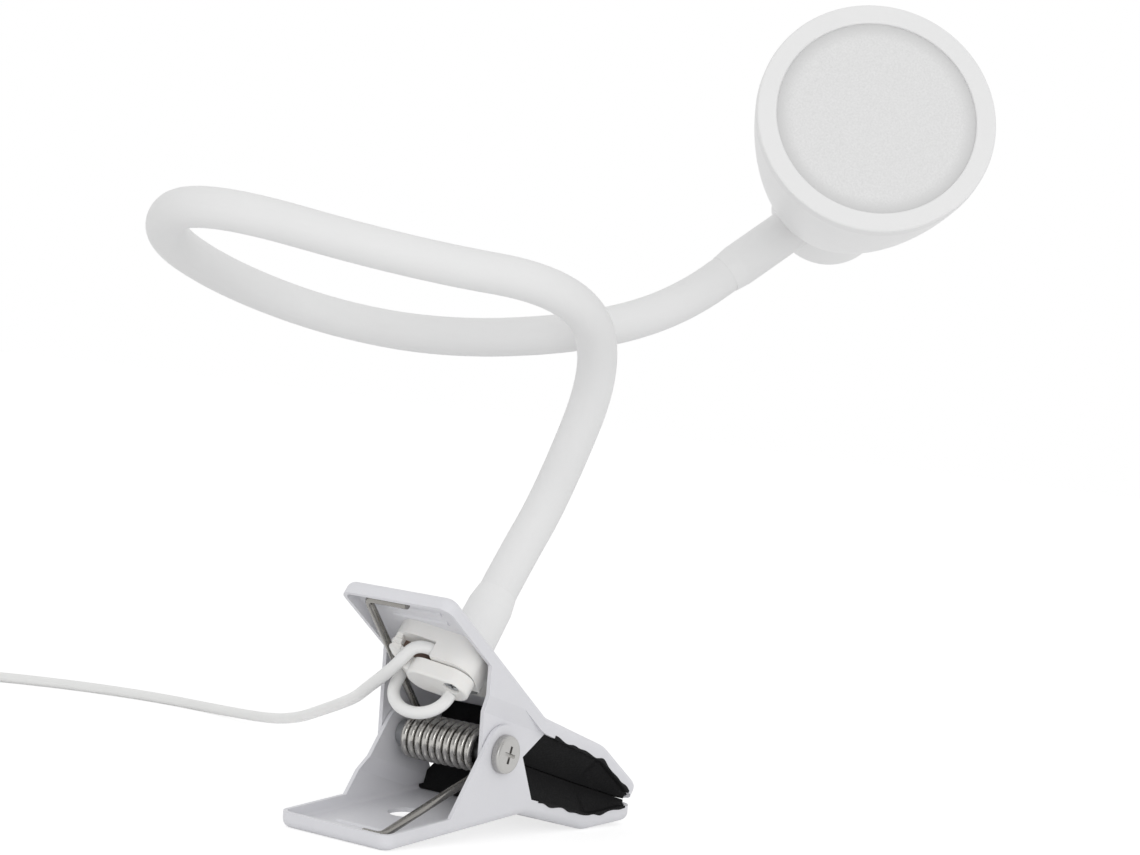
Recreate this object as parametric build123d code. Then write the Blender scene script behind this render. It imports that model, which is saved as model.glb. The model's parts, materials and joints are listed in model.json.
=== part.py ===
"""Clip-on reading lamp: a sprung sheet-metal clamp, a covered gooseneck and a bell-shaped LED head.

Millimetres, +Z up. The clamp is drawn about its pivot, X towards the jaws and Y along the pivot,
then tipped onto the table. The origin ends up at the centre of the lamp's footprint box, on the table.
"""
import math
import os

from build123d import *

# Clamp: two like stampings, nested cheek to cheek
CLAMP_WIDTH = 38.0
SHEET = 1.2
CUT = 200.0                  # longer than anything that is cut away
SIDE_GAP = 0.25              # play between nested cheeks and beside the liners
LIP = 4.6                    # height of the rim round each stamping
FOLD_RADIUS = 2.4            # outside, where plate turns into rim
HANDLE_LENGTH = 61.4
HANDLE_ANGLE = 20.2          # handle plate to the clamp's centre plane
NECK_X = 17.8                # bend between handle and jaw
NECK_HEIGHT = 14.0
JAW_REAR_LENGTH = 32.9
JAW_REAR_ANGLE = 2.5
JAW_FRONT_LENGTH = 24.3
JAW_FRONT_ANGLE = 18.1
NECK_BEND_RADIUS = 9.0
JAW_BEND_RADIUS = 15.0
HANDLE_CORNER = 3.6
JAW_CORNER = 4.5
CHEEK_RADIUS = 8.0           # round end of each cheek, about the pivot
CHEEK_ROOT = 2.9             # where a cheek starts, below the plate's outer face
CHEEK_REAR = 26.0            # where the cheek's rear edge leaves the rim, from the handle's tip
CHEEK_FRONT = 3.0            # where its front edge meets the rim, before the jaw bend
JOGGLE_HEIGHT = 9.2          # the inner cheek steps inwards this far from the pivot
JOGGLE_RUN = 4.6
RIB_FROM_TIP = 14.0          # pressed ribs across each handle
RIB_LENGTH = 19.0
RIB_SPACING = 4.5
RIB_RADIUS = 1.0

# Rubber liners in the jaws
PAD_GAP = 0.3                # between the two closed pads
PAD_SLOPE = 36.0             # how their sides lean in from the rims
PAD_ROOT = 1.0               # how far a pad's top is sunk in its liner
LINER_BEHIND_ANCHOR = 3.4    # room between the cord anchor and the liner
LINER_BELOW_RIM = 0.3

# Pivot
SCREW_DIAMETER = 4.0
SCREW_LENGTH = 11.0
SCREW_HEAD_DIAMETER = 10.8
SCREW_HEAD_HEIGHT = 2.2
SCREW_HEAD_EDGE = 1.0
PIVOT_PLAY = 0.08            # running fit, on the radius
TUBE_DIAMETER = 7.4
CROSS_LENGTH = 5.0
CROSS_WIDTH = 1.0
CROSS_DEPTH = 1.2

# Torsion spring
WIRE_DIAMETER = 2.3
COIL_RADIUS = 5.5            # to the wire's centre
COIL_PITCH = 3.1
COIL_TURNS = 8
LEG_REACH = 47.5             # pivot to the hook at each handle's tip
LEG_ANGLE = 40.7
LEG_BEND = 3.0
LOWER_HOOK = 6.0
UPPER_HOOK = 14.0

# Cord anchor under the upper handle, set round the neck's fixing
NECK_HOLE_FROM_TIP = 35.0
NECK_HOLE_DIAMETER = 10.2
NECK_SHIFT = -2.5            # the hole is a little to the near side
ANCHOR_TURN = -15.0          # its front faces a little to the near side
ANCHOR_WIDTH = 26.5
ANCHOR_FRONT = 18.3
ANCHOR_BACK = 9.0
ANCHOR_CORNER = 6.5
ANCHOR_PLATE = 4.2
ANCHOR_BLOCK = 4.6           # block that the cord comes out of, below the plate
BLOCK_EDGE = -1.0
BLOCK_BACK = 4.5
SADDLE_HEIGHT = 4.6
SADDLE_LENGTH = 19.0
SADDLE_WIDTH = 11.0
SADDLE_INSET = 2.0
SADDLE_GAP = 0.3
SADDLE_EDGE = 0.8
SADDLE_SCREW_AT = (13.2, -9.0)
SADDLE_SCREW_DIAMETER = 2.5
SADDLE_SCREW_HEAD = 4.6
SADDLE_SCREW_HEAD_HEIGHT = 1.4
SADDLE_SCREW_SINK = 2.0
SADDLE_SCREW_LENGTH = 8.2
SADDLE_CROSS = (0.6, 2.6, 0.8)
GUIDE_WIDTH = 3.2            # stepped post at the anchor's left end
GUIDE_STEPS = 3
GUIDE_STEP = 1.1
GUIDE_INSET = 2.5
GUIDE_DEPTH = 5.0
NUT_ACROSS = 14.0
NUT_HEIGHT = 3.4
NUT_SINK = 1.6               # how far the nut sits in the anchor's plate
NIPPLE_DIAMETER = 10.0
CLOSE_FIT = 0.02             # threads and glued joints, on the radius

# Gooseneck
NECK_DIAMETER = 11.2
SLEEVE_WALL = 1.1
CORE_GAP = 0.15
CORE_BORE = 4.6
LEAD_DIAMETER = 3.4
LEAD_START = 0.5
BASE_COLLAR_FOOT = 13.6
BASE_COLLAR_TOP = 13.0
BASE_COLLAR_LENGTH = 22.0
FIRST_RUN = 33.0
TIP_COLLAR_DIAMETER = 12.6
TIP_COLLAR_LENGTH = 24.0
COLLAR_TAPER = 4.5           # both collars end in a slope down to the neck's cover
COLLAR_LIP = 0.15
COLLAR_EASE = 6.0
SPIGOT_DIAMETER = 9.4
SPIGOT_LENGTH = 7.5
COLLAR_WALL_LAP = 14.0       # how far the core runs into each collar
TIP_NUT_WALL = 2.0
TIP_NUT_HEIGHT = 2.6
NECK_ROUTE = [
    (27.5, -6.0, 96.0),
    (22.0, -23.0, 135.5),
    (-11.0, -32.5, 154.0),
    (-46.0, -2.5, 156.0),
    (-82.5, 44.5, 165.5),
    (-63.0, 74.5, 156.5),
    (-19.0, 88.0, 147.0),
    (16.0, 75.0, 139.0),
    (19.0, 33.5, 136.5),
    (26.0, -8.0, 142.0),
]
LAST_RUN = 43.0
ROUTE_SHARE = 0.45           # part of the shorter run that each bend may take
BEND_AT = (45.0, 152.0, 358.0, 445.0, 467.5)
BEND_LIMIT = 30.0            # the most that any one place in the neck bends
BEND_PLAY = 0.3

# Head
HEAD_CENTRE = (34.6, -92.5, 209.6)
HEAD_AZIMUTH = 218.3         # where the light points
HEAD_ELEVATION = 16.6
NECK_SIDE = (-0.61, 0.46, -0.65)
HEAD_RADIUS = 32.8
HEAD_DEPTH = 50.5
HEAD_BELLY = 28.9            # radius half way back
HEAD_RIDGE = 21.9
RIDGE_STEP = 1.6
TAIL_RADIUS = 16.4
TAIL_DEPTH = 27.5
TAIL_EDGE = 1.2
HEAD_WALL = 2.0
NECK_BEHIND_RIDGE = 14.5     # neck axis, behind the end of the bell
BEZEL_DEPTH = 3.2
BEZEL_EDGE = 0.6
BEZEL_LIP = 0.8
BEZEL_LIP_EDGE = 0.4
BEZEL_SKIRT = 4.0
APERTURE_RADIUS = 27.4
DIFFUSER = 2.0
DIFFUSER_LAP = 2.0           # how far it reaches behind the bezel's lip
FIT = 0.15
BOARD_DEPTH = 13.0
BOARD = 1.6
BOARD_RADIUS = 28.2
LEDGE_WIDTH = 4.0
LEDGE_HEIGHT = 5.0
BOARD_SCREWS = 3
BOARD_SCREW_CIRCLE = 26.4
BOARD_SCREW_DIAMETER = 2.0
BOARD_SCREW_LENGTH = 5.0
BOARD_SCREW_HEAD = 3.6
BOARD_SCREW_HEAD_HEIGHT = 0.8
LED_COUNTS = (6, 12)
LED_CIRCLES = (8.5, 18.5)
LED_SIZE = (3.5, 2.8, 0.8)
REFLECTOR_WALL = 0.8
BUTTON_RADIUS = 7.5
BUTTON_PROUD = 2.4
BUTTON_TRAVEL = 1.5
BUTTON_PLAY = 0.3
BUTTON_FLANGE = 1.2
BUTTON_EDGE = 0.8
BUTTON_THICKNESS = 3.0
SWITCH_SIZE = (9.0, 9.0, 6.0)
PLUNGER_RADIUS = 2.0
PLUNGER_LENGTH = 0.4
PLUNGER_PLAY = 0.3

# Cord
CORD_DIAMETER = 3.5
ON_TABLE = CORD_DIAMETER / 2
LOOP_LEFT = (5.0, 10.2)      # loop under the anchor, in the anchor's own plan
LOOP_RIGHT = (8.4, -7.6)
LOOP_DROP = 0.3
CORD_MOUTH = (12.2, -5.4, 6.2)
CORD_ROUTE = [
    (-21.0, -1.3, 52.9),
    (-22.2, 4.6, 44.1),
    (-15.0, 19.5, 36.6),
    (-4.0, 31.0, 32.4),
    (13.0, 48.0, 27.7),
    (38.0, 77.0, 19.5),
    (68.0, 112.0, 10.0),
    (91.0, 143.0, 4.0),
    (100.0, 172.0, ON_TABLE),
    (97.0, 200.0, ON_TABLE),
    (86.0, 226.0, ON_TABLE),
    (69.0, 248.0, ON_TABLE),
    (49.0, 265.0, ON_TABLE),
    (27.0, 278.0, ON_TABLE),
]
COIL_MID_DIAMETER = 42.0
COIL_HEIGHT = 7.0
COIL_BAND = 14.0
TIE_AT = 270.0               # round the coil, in degrees
TIE_WIDTH = 6.0
TIE_THICKNESS = 0.8
TIE_PINCH = 0.3
TAIL_AT = 90.0               # where the cord's other end leaves the coil
TAIL_RUN = 36.0
TAIL_LEVEL = 14.0            # it runs level this far, then down to the plug
PLUG_BODY = (20.0, 12.0, 6.5)
PLUG_BODY_EDGE = 1.5
PLUG_SHELL = (14.0, 12.0, 4.5)
PLUG_WALL = 0.4
PLUG_TONGUE = (12.0, 11.0, 1.8)
PLUG_WINDOW = (2.5, 2.2)
PLUG_WINDOW_FROM_END = 6.0


def offset_points(points, depth):
    """The polyline moved to its right by depth, corners mitred."""
    moved = []
    heads = [(b - a).normalized() for a, b in zip(points, points[1:])]
    sides = [Vector(d.Y, -d.X) for d in heads]
    for i, point in enumerate(points):
        before = sides[max(i - 1, 0)]
        after = sides[min(i, len(sides) - 1)]
        both = before + after
        moved.append(point + both * (2 * depth / both.dot(both)))
    return moved


def along(angle, length):
    return Vector(math.cos(math.radians(angle)), math.sin(math.radians(angle))) * length


NECK_POINT = Vector(NECK_X, NECK_HEIGHT)
HANDLE_TIP = NECK_POINT - along(-HANDLE_ANGLE, HANDLE_LENGTH)
JAW_POINT = NECK_POINT + along(-JAW_REAR_ANGLE, JAW_REAR_LENGTH)
JAW_TIP = JAW_POINT + along(-JAW_FRONT_ANGLE, JAW_FRONT_LENGTH)
SIDE_VIEW = Plane.XZ         # local x, y are the clamp's x, z


def plate_line(depth, start_cut=0.0, end_cut=0.0):
    """The stamping's side profile, depth below its outer face, with its ends cut back."""
    points = offset_points([HANDLE_TIP, NECK_POINT, JAW_POINT, JAW_TIP], depth)
    points[0] += along(-HANDLE_ANGLE, start_cut)
    points[-1] -= along(-JAW_FRONT_ANGLE, end_cut)
    return FilletPolyline(points, radius=[NECK_BEND_RADIUS + depth, JAW_BEND_RADIUS - depth])


def side_band(top, bottom, width, start_cut=0.0, end_cut=0.0):
    """A solid between two depths of the side profile, centred across the clamp."""
    upper = plate_line(top, start_cut, end_cut)
    lower = plate_line(bottom, start_cut, end_cut)
    ends = Line(upper @ 0, lower @ 0) + Line(upper @ 1, lower @ 1)
    face = make_face(upper.edges() + lower.edges() + ends.edges())
    return extrude(SIDE_VIEW * face, width / 2, both=True)


def rounded_tray(top, bottom, width, corners, fold, start_cut=0.0, end_cut=0.0):
    """side_band with its plan corners rounded and its top edge rolled over."""
    body = side_band(top, bottom, width, start_cut, end_cut)
    up = Vector(0, 0, 1)

    def upright(edge):
        heading = edge % 0.5
        return abs(heading.Y) < 0.01 and abs(heading.dot(up)) > 0.8

    posts = [e for e in body.edges() if upright(e)]
    body = fillet([e for e in posts if (e @ 0.5).X < 0], corners[0])
    posts = [e for e in body.edges() if upright(e)]
    body = fillet([e for e in posts if (e @ 0.5).X > JAW_POINT.X + 1], corners[1])
    line = plate_line(top, start_cut, end_cut)
    spine = SIDE_VIEW * line

    def on_rim(edge):
        middle = edge @ 0.5
        near = spine.distance_to(Vertex(middle.X, 0, middle.Z)) < 0.05
        across = abs((edge % 0.5).Y) > 0.99
        at_end = middle.X < HANDLE_TIP.X + start_cut + 1 or middle.X > JAW_TIP.X - end_cut - 1
        return near and (not across or at_end)

    return fillet([e for e in body.edges() if on_rim(e)], fold)


def on_handle(distance, depth):
    """A point in the clamp's side view, from the handle's tip and below its outer face."""
    down = along(-HANDLE_ANGLE - 90, depth)
    return HANDLE_TIP + along(-HANDLE_ANGLE, distance) + down


def cheek_outline():
    """The cheek in side view: from the rim to its round end about the pivot."""
    rear = on_handle(CHEEK_REAR, CHEEK_ROOT)
    front = NECK_POINT + along(-JAW_REAR_ANGLE, CHEEK_FRONT) + along(-90, CHEEK_ROOT)
    neck = NECK_POINT + along(-90, CHEEK_ROOT)

    def tangent(point, turn):
        swing = math.degrees(math.acos(CHEEK_RADIUS / point.length))
        return along(math.degrees(math.atan2(point.Y, point.X)) + turn * swing, CHEEK_RADIUS)

    rear_touch = tangent(rear, 1)
    front_touch = tangent(front, -1)
    outline = Line(rear, rear_touch)
    outline += ThreePointArc(rear_touch, Vector(0, -CHEEK_RADIUS), front_touch)
    outline += Polyline(front_touch, front, neck, rear)
    return make_face(outline.edges())


def cheeks():
    """A plain cheek on +Y, and on -Y one that steps inwards to nest in the other lever."""
    outline = extrude(SIDE_VIEW * cheek_outline(), CLAMP_WIDTH, both=True)
    plain = Pos(0, CLAMP_WIDTH / 2 - SHEET / 2, 0) * Box(CUT, SHEET, CUT)
    step = SHEET + SIDE_GAP
    outside = -CLAMP_WIDTH / 2
    section = [
        (outside, CUT),
        (outside, JOGGLE_HEIGHT + JOGGLE_RUN),
        (outside + step, JOGGLE_HEIGHT),
        (outside + step, -CUT),
        (outside + step + SHEET, -CUT),
        (outside + step + SHEET, JOGGLE_HEIGHT),
        (outside + SHEET, JOGGLE_HEIGHT + JOGGLE_RUN),
        (outside + SHEET, CUT),
    ]
    stepped = extrude(Plane.YZ * make_face(Polyline(*section, close=True)), CUT, both=True)
    return (outline & plain) + (outline & stepped)


def handle_plane(depth):
    """On the handle: x towards the tip, z into the clamp, centred on the neck's fixing."""
    centre = on_handle(NECK_HOLE_FROM_TIP, depth)
    towards_tip = along(-HANDLE_ANGLE, -1)
    inwards = along(-HANDLE_ANGLE - 90, 1)
    return Plane(
        (centre.X, 0, centre.Y),
        x_dir=(towards_tip.X, 0, towards_tip.Y),
        z_dir=(inwards.X, 0, inwards.Y),
    )


def fixing(depth):
    """The neck's axis where it goes through the handle, z into the clamp."""
    return handle_plane(depth) * Pos(0, NECK_SHIFT, 0) * Rot(0, 0, ANCHOR_TURN)


def lever():
    """One stamping, drawn as the upper lever."""
    outside = rounded_tray(0, LIP, CLAMP_WIDTH, (HANDLE_CORNER, JAW_CORNER), FOLD_RADIUS)
    inner_corners = (HANDLE_CORNER - SHEET, JAW_CORNER - SHEET)
    inside = rounded_tray(
        SHEET, LIP + 1, CLAMP_WIDTH - 2 * SHEET, inner_corners, FOLD_RADIUS - SHEET, SHEET, SHEET
    )
    body = outside - inside + cheeks()
    body -= Rot(90, 0, 0) * Cylinder(SCREW_DIAMETER / 2 + PIVOT_PLAY, 2 * CLAMP_WIDTH)
    body -= fixing(0) * Cylinder(NECK_HOLE_DIAMETER / 2, 4 * SHEET)
    rib = Rot(90, 0, 0) * Cylinder(RIB_RADIUS, RIB_LENGTH)
    for i in (0, 1):
        from_hole = NECK_HOLE_FROM_TIP - RIB_FROM_TIP + i * RIB_SPACING
        body += handle_plane(SHEET) * Pos(from_hole, 0, -RIB_RADIUS / 2) * rib
        body -= handle_plane(0) * Pos(from_hole, 0, -RIB_RADIUS / 2) * rib
    return body


def pad_room(run_start, angle):
    """Under one run of the rim: the liner's width there, and narrower towards the clamp's middle."""
    run = along(-angle, 1)
    across = Plane((run_start.X, 0, run_start.Y), x_dir=(0, 1, 0), z_dir=(run.X, 0, run.Y))
    half = CLAMP_WIDTH / 2 - SHEET - SIDE_GAP
    rim, middle = LIP - LINER_BELOW_RIM, LIP + NECK_HEIGHT
    narrow = half - (middle - rim) * math.tan(math.radians(PAD_SLOPE))
    section = [(-half, 0), (half, 0), (half, -rim), (narrow, -middle), (-narrow, -middle), (-half, -rim)]
    return extrude(across * make_face(Polyline(*section, close=True)), CUT, both=True)


def jaw_pad():
    """Rubber between a liner and the clamp's middle, its sides folded in from the rims."""
    top = offset_points([HANDLE_TIP, NECK_POINT, JAW_POINT, JAW_TIP], LIP - LINER_BELOW_RIM - PAD_ROOT)
    seat = SHEET + SIDE_GAP
    top[-1] -= along(-JAW_FRONT_ANGLE, seat + PAD_ROOT)
    floor = [Vector(top[-1].X, PAD_GAP / 2), Vector(0, PAD_GAP / 2)]
    outline = make_face(Polyline(*top[1:], *floor, Vector(0, top[1].Y), close=True))
    block = extrude(SIDE_VIEW * outline, CLAMP_WIDTH / 2 - seat, both=True)
    block = fillet(block.edges().filter_by(Axis.Z).sort_by(Axis.X)[-2:], JAW_CORNER - seat)
    return block & (pad_room(NECK_POINT, JAW_REAR_ANGLE) + pad_room(JAW_TIP, JAW_FRONT_ANGLE))


def liner():
    """Rubber lining of a jaw, drawn for the upper lever."""
    seat = SHEET + SIDE_GAP
    width = CLAMP_WIDTH - 2 * seat
    corners = (HANDLE_CORNER - seat, JAW_CORNER - seat)
    body = rounded_tray(seat, LIP - LINER_BELOW_RIM, width, corners, FOLD_RADIUS - seat, seat, seat)
    body += jaw_pad()
    corner = on_handle(NECK_HOLE_FROM_TIP + ANCHOR_BACK + LINER_BEHIND_ANCHOR, 0)
    keep = Box(CUT, CUT, CUT, align=(Align.MIN, Align.CENTER, Align.CENTER))
    body &= Pos(corner.X, 0, corner.Y) * Rot(0, HANDLE_ANGLE, 0) * keep
    inner_cheek = CLAMP_WIDTH / 2 - 2 * SHEET - 2 * SIDE_GAP
    blades = extrude(SIDE_VIEW * offset(cheek_outline(), SIDE_GAP), CLAMP_WIDTH, both=True)
    walls = Box(CUT, CUT, CUT) - Box(CUT, 2 * inner_cheek, CUT)
    reach = CHEEK_RADIUS + SIDE_GAP
    room = (blades + TURNED * blades) & walls
    return body - room - Rot(90, 0, 0) * Cylinder(reach, CLAMP_WIDTH)


def pivot_tube():
    inner_faces = CLAMP_WIDTH - 4 * SHEET - 4 * SIDE_GAP
    tube = Cylinder(TUBE_DIAMETER / 2, inner_faces) - Cylinder(SCREW_DIAMETER / 2 + FIT, inner_faces)
    return Rot(90, 0, 0) * tube


def cross_recess(width, length, depth):
    arm = Box(length, width, depth, align=(Align.CENTER, Align.CENTER, Align.MAX))
    return arm + Rot(0, 0, 90) * arm


def pivot_screws():
    """Two like screws, one from each side, into the tube's ends."""
    head = low(Cylinder, SCREW_HEAD_DIAMETER / 2, SCREW_HEAD_HEIGHT)
    head = fillet(head.faces().sort_by(Axis.Z)[-1].edges(), SCREW_HEAD_EDGE)
    head -= Pos(0, 0, SCREW_HEAD_HEIGHT) * cross_recess(CROSS_WIDTH, CROSS_LENGTH, CROSS_DEPTH)
    shank = below(Cylinder, SCREW_DIAMETER / 2, SCREW_LENGTH)
    screw = head + shank
    near = Pos(0, -CLAMP_WIDTH / 2 - SIDE_GAP, 0) * Rot(90, 0, 0) * screw
    return [near, Rot(180, 0, 0) * near]


def torsion_spring():
    """Coil about the pivot, with a leg and a hook along the inside of each handle."""
    touch = LEG_ANGLE - 180 + math.degrees(math.acos(COIL_RADIUS / LEG_REACH))
    sweep_turns = COIL_TURNS - 2 * touch / 360
    height = COIL_PITCH * sweep_turns
    start = along(touch, 1)
    frame = Plane((0, -height / 2, 0), x_dir=(start.X, 0, start.Y), z_dir=(0, 1, 0))
    helix = frame * Helix(COIL_PITCH, height, COIL_RADIUS, lefthand=True)
    wire = Circle(WIRE_DIAMETER / 2)
    spring = sweep(Plane(helix @ 0, z_dir=helix % 0) * wire, path=helix, is_frenet=True)
    tip = along(180 + LEG_ANGLE, LEG_REACH)
    ends = ((helix @ 0, -1, LOWER_HOOK), (helix @ 1, 1, -UPPER_HOOK))
    for root, side, hook in ends:
        corner = Vector(tip.X, root.Y, -side * tip.Y)
        leg = FilletPolyline(root, corner, corner + Vector(0, hook, 0), radius=LEG_BEND)
        spring += sweep(Plane(leg @ 0, z_dir=leg % 0) * wire, path=leg)
        spring += Pos(root) * Sphere(WIRE_DIAMETER / 2 + CLOSE_FIT)
    return spring


def anchor_plane(height):
    """On the handle's inner face: x to the anchor's front, z into the clamp."""
    return handle_plane(SHEET + height) * Rot(0, 0, ANCHOR_TURN)


def low(shape_class, *sizes):
    return shape_class(*sizes, align=(Align.CENTER, Align.CENTER, Align.MIN))


def below(shape_class, *sizes):
    return shape_class(*sizes, align=(Align.CENTER, Align.CENTER, Align.MAX))


SADDLE_X = ANCHOR_FRONT - SADDLE_WIDTH / 2 - SADDLE_INSET
SADDLE_Y = -ANCHOR_WIDTH / 2 + SADDLE_LENGTH / 2
SADDLE_SEAT = ANCHOR_PLATE + ANCHOR_BLOCK + SADDLE_GAP
SADDLE_UNDERSIDE = SADDLE_SEAT + SADDLE_HEIGHT


def anchor_base():
    """Plate clamped under the neck, with a block that the cord leaves by."""
    length = ANCHOR_FRONT + ANCHOR_BACK
    middle = (ANCHOR_FRONT - ANCHOR_BACK) / 2
    outline = Pos(middle, 0) * RectangleRounded(length, ANCHOR_WIDTH, ANCHOR_CORNER)
    base = extrude(outline, ANCHOR_PLATE)
    block_side = Pos(0, BLOCK_EDGE) * Rectangle(CUT, CUT, align=(Align.CENTER, Align.MAX))
    block_front = Pos(BLOCK_BACK, 0) * Rectangle(CUT, CUT, align=(Align.MIN, Align.CENTER))
    base += extrude(outline & block_side & block_front, ANCHOR_PLATE + ANCHOR_BLOCK)
    guide_edge = Pos(0, ANCHOR_WIDTH / 2 - GUIDE_WIDTH)
    guide_side = guide_edge * Rectangle(CUT, CUT, align=(Align.CENTER, Align.MIN))
    for i in range(GUIDE_STEPS):
        front = ANCHOR_FRONT - GUIDE_INSET - i * GUIDE_STEP
        reach = Pos(front, 0) * Rectangle(GUIDE_DEPTH, CUT, align=(Align.MAX, Align.CENTER))
        base += extrude(outline & guide_side & reach, ANCHOR_PLATE + (i + 1) * GUIDE_STEP)
    neck = anchor_plane(0).inverse() * fixing(SHEET)
    base -= neck * Cylinder(NIPPLE_DIAMETER / 2 + FIT, CUT)
    pocket = extrude(RegularPolygon(NUT_ACROSS / 2 + FIT, 6, major_radius=False), CUT)
    base -= neck * Pos(0, 0, ANCHOR_PLATE - NUT_SINK) * pocket
    screw_end = SADDLE_UNDERSIDE - SADDLE_SCREW_SINK - SADDLE_SCREW_LENGTH
    base -= Pos(*SADDLE_SCREW_AT, screw_end) * low(Cylinder, SADDLE_SCREW_DIAMETER / 2, CUT)
    mouth = Vector(*CORD_MOUTH)
    towards = (anchor_plane(0).inverse() * STAND.inverse() * Pos(*CORD_ROUTE[0])).position - mouth
    bore = low(Cylinder, CORD_DIAMETER / 2 + FIT, towards.length)
    return anchor_plane(0) * (base - Plane(mouth, z_dir=towards).location * bore)


def anchor_saddle():
    """Bar screwed under the block to grip the cord."""
    bar = extrude(Rot(0, 0, 90) * SlotOverall(SADDLE_LENGTH, SADDLE_WIDTH), SADDLE_HEIGHT)
    bar = fillet(bar.faces().sort_by(Axis.Z)[-1].edges(), SADDLE_EDGE)
    bar = Pos(SADDLE_X, SADDLE_Y) * bar
    bar -= Pos(*SADDLE_SCREW_AT) * Cylinder(SADDLE_SCREW_DIAMETER / 2 + FIT, CUT)
    head_room = low(Cylinder, SADDLE_SCREW_HEAD / 2 + FIT, SADDLE_HEIGHT)
    bar -= Pos(*SADDLE_SCREW_AT, SADDLE_HEIGHT - SADDLE_SCREW_SINK) * head_room
    return anchor_plane(SADDLE_SEAT) * bar


def saddle_screw():
    top = SADDLE_UNDERSIDE - SADDLE_SCREW_SINK
    shank = below(Cylinder, SADDLE_SCREW_DIAMETER / 2 - CLOSE_FIT, SADDLE_SCREW_LENGTH)
    head = low(Cylinder, SADDLE_SCREW_HEAD / 2, SADDLE_SCREW_HEAD_HEIGHT)
    head -= Pos(0, 0, SADDLE_SCREW_HEAD_HEIGHT) * cross_recess(*SADDLE_CROSS)
    return anchor_plane(top) * Pos(*SADDLE_SCREW_AT) * (head + shank)


def neck_nut():
    nut = extrude(RegularPolygon(NUT_ACROSS / 2, 6, major_radius=False), NUT_HEIGHT)
    nut -= low(Cylinder, NIPPLE_DIAMETER / 2 + CLOSE_FIT, NUT_HEIGHT)
    return fixing(SHEET + ANCHOR_PLATE - NUT_SINK) * nut


def cord_loop():
    """The part of the cord that loops under the anchor, from its plate round to the saddle."""
    left, right = Vector(*LOOP_LEFT), Vector(*LOOP_RIGHT)
    radius = (left - right).length / 2
    turn = Vector(0, 0, SADDLE_UNDERSIDE + LOOP_DROP)
    bottom = (left + right) / 2 + turn + Vector(0, 0, radius)
    path = Line(left + Vector(0, 0, ANCHOR_PLATE), left + turn)
    path += ThreePointArc(left + turn, bottom, right + turn)
    path += Line(right + turn, right + Vector(0, 0, SADDLE_UNDERSIDE))
    path = Wire(path.edges())
    loop = sweep(Plane(path @ 0, z_dir=path % 0) * Circle(CORD_DIAMETER / 2), path=path)
    return anchor_plane(0) * loop


def stance():
    """How far the clamp tips forward, and its pivot's height, resting on handle tip and jaw bend."""
    tip = on_handle(FOLD_RADIUS, FOLD_RADIUS)
    spread = math.radians((JAW_FRONT_ANGLE - JAW_REAR_ANGLE) / 2)
    middle = (JAW_REAR_ANGLE + JAW_FRONT_ANGLE) / 2
    jaw = JAW_POINT - along(90 - middle, JAW_BEND_RADIUS / math.cos(spread))
    tip = Vector(tip.X, -tip.Y)
    jaw = Vector(jaw.X, -jaw.Y)
    reach = jaw - tip
    slope = math.atan2(-reach.Y, reach.X)
    angle = math.asin((FOLD_RADIUS - JAW_BEND_RADIUS) / reach.length) - slope
    height = FOLD_RADIUS + tip.X * math.sin(angle) - tip.Y * math.cos(angle)
    return math.degrees(angle), height


STANCE, PIVOT_HEIGHT = stance()
STAND = Pos(0, 0, PIVOT_HEIGHT) * Rot(0, STANCE, 0)
TURNED = Rot(180, 0, 0)      # upper lever's place to the lower's

SLEEVE_RADIUS = NECK_DIAMETER / 2
CORE_RADIUS = SLEEVE_RADIUS - SLEEVE_WALL - CORE_GAP
DOME_RADIUS = CORE_RADIUS - BEND_PLAY / 2


def direction(azimuth, elevation):
    flat = math.cos(math.radians(elevation))
    return Vector(
        flat * math.cos(math.radians(azimuth)),
        flat * math.sin(math.radians(azimuth)),
        math.sin(math.radians(elevation)),
    )


def head_plane():
    """On the head's front face: z where the light points, x towards the neck."""
    front = direction(HEAD_AZIMUTH, HEAD_ELEVATION)
    side = Vector(*NECK_SIDE)
    side -= front * side.dot(front)
    return Plane(HEAD_CENTRE, x_dir=side, z_dir=front)


HEAD = head_plane()
NECK_ENTRY = HEAD_DEPTH + NECK_BEHIND_RIDGE


def bend_radius(before, corner, after):
    """The largest bend that a corner's two runs leave room for."""
    first, second = corner - before, after - corner
    half_turn = math.radians(first.get_angle(second) / 2)
    return ROUTE_SHARE * min(first.length, second.length) / math.tan(half_turn)


def rounded_route(points):
    points = [Vector(*p) for p in points]
    radii = [bend_radius(*points[i - 1:i + 2]) for i in range(1, len(points) - 1)]
    return Wire(FilletPolyline(points, radius=radii).edges()), radii


def neck_route():
    """Centre line of the neck: up from the handle's outer face, to the head's axis."""
    foot = STAND * fixing(0)
    start = foot.position
    outwards = (foot * Pos(0, 0, -1)).position - start
    entry = HEAD.from_local_coords(Vector(0, 0, -NECK_ENTRY))
    collar_top = start + outwards * BASE_COLLAR_LENGTH
    points = [collar_top, start + outwards * FIRST_RUN, *NECK_ROUTE]
    points += [entry + HEAD.x_dir * (TAIL_RADIUS + LAST_RUN), entry + HEAD.x_dir * TAIL_RADIUS]
    route, radii = rounded_route(points)
    return Wire([Edge.make_line(start, collar_top), *route.edges()]), radii


NECK, NECK_RADII = neck_route()
NECK_LENGTH = NECK.length
SLEEVE_END = NECK_LENGTH - TIP_COLLAR_LENGTH
BEND_GAP = SLEEVE_RADIUS * math.tan(math.radians(BEND_LIMIT / 2)) + BEND_PLAY
SEAT_RIM = (DOME_RADIUS + BEND_PLAY) * math.sin(math.radians(BEND_LIMIT))


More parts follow.
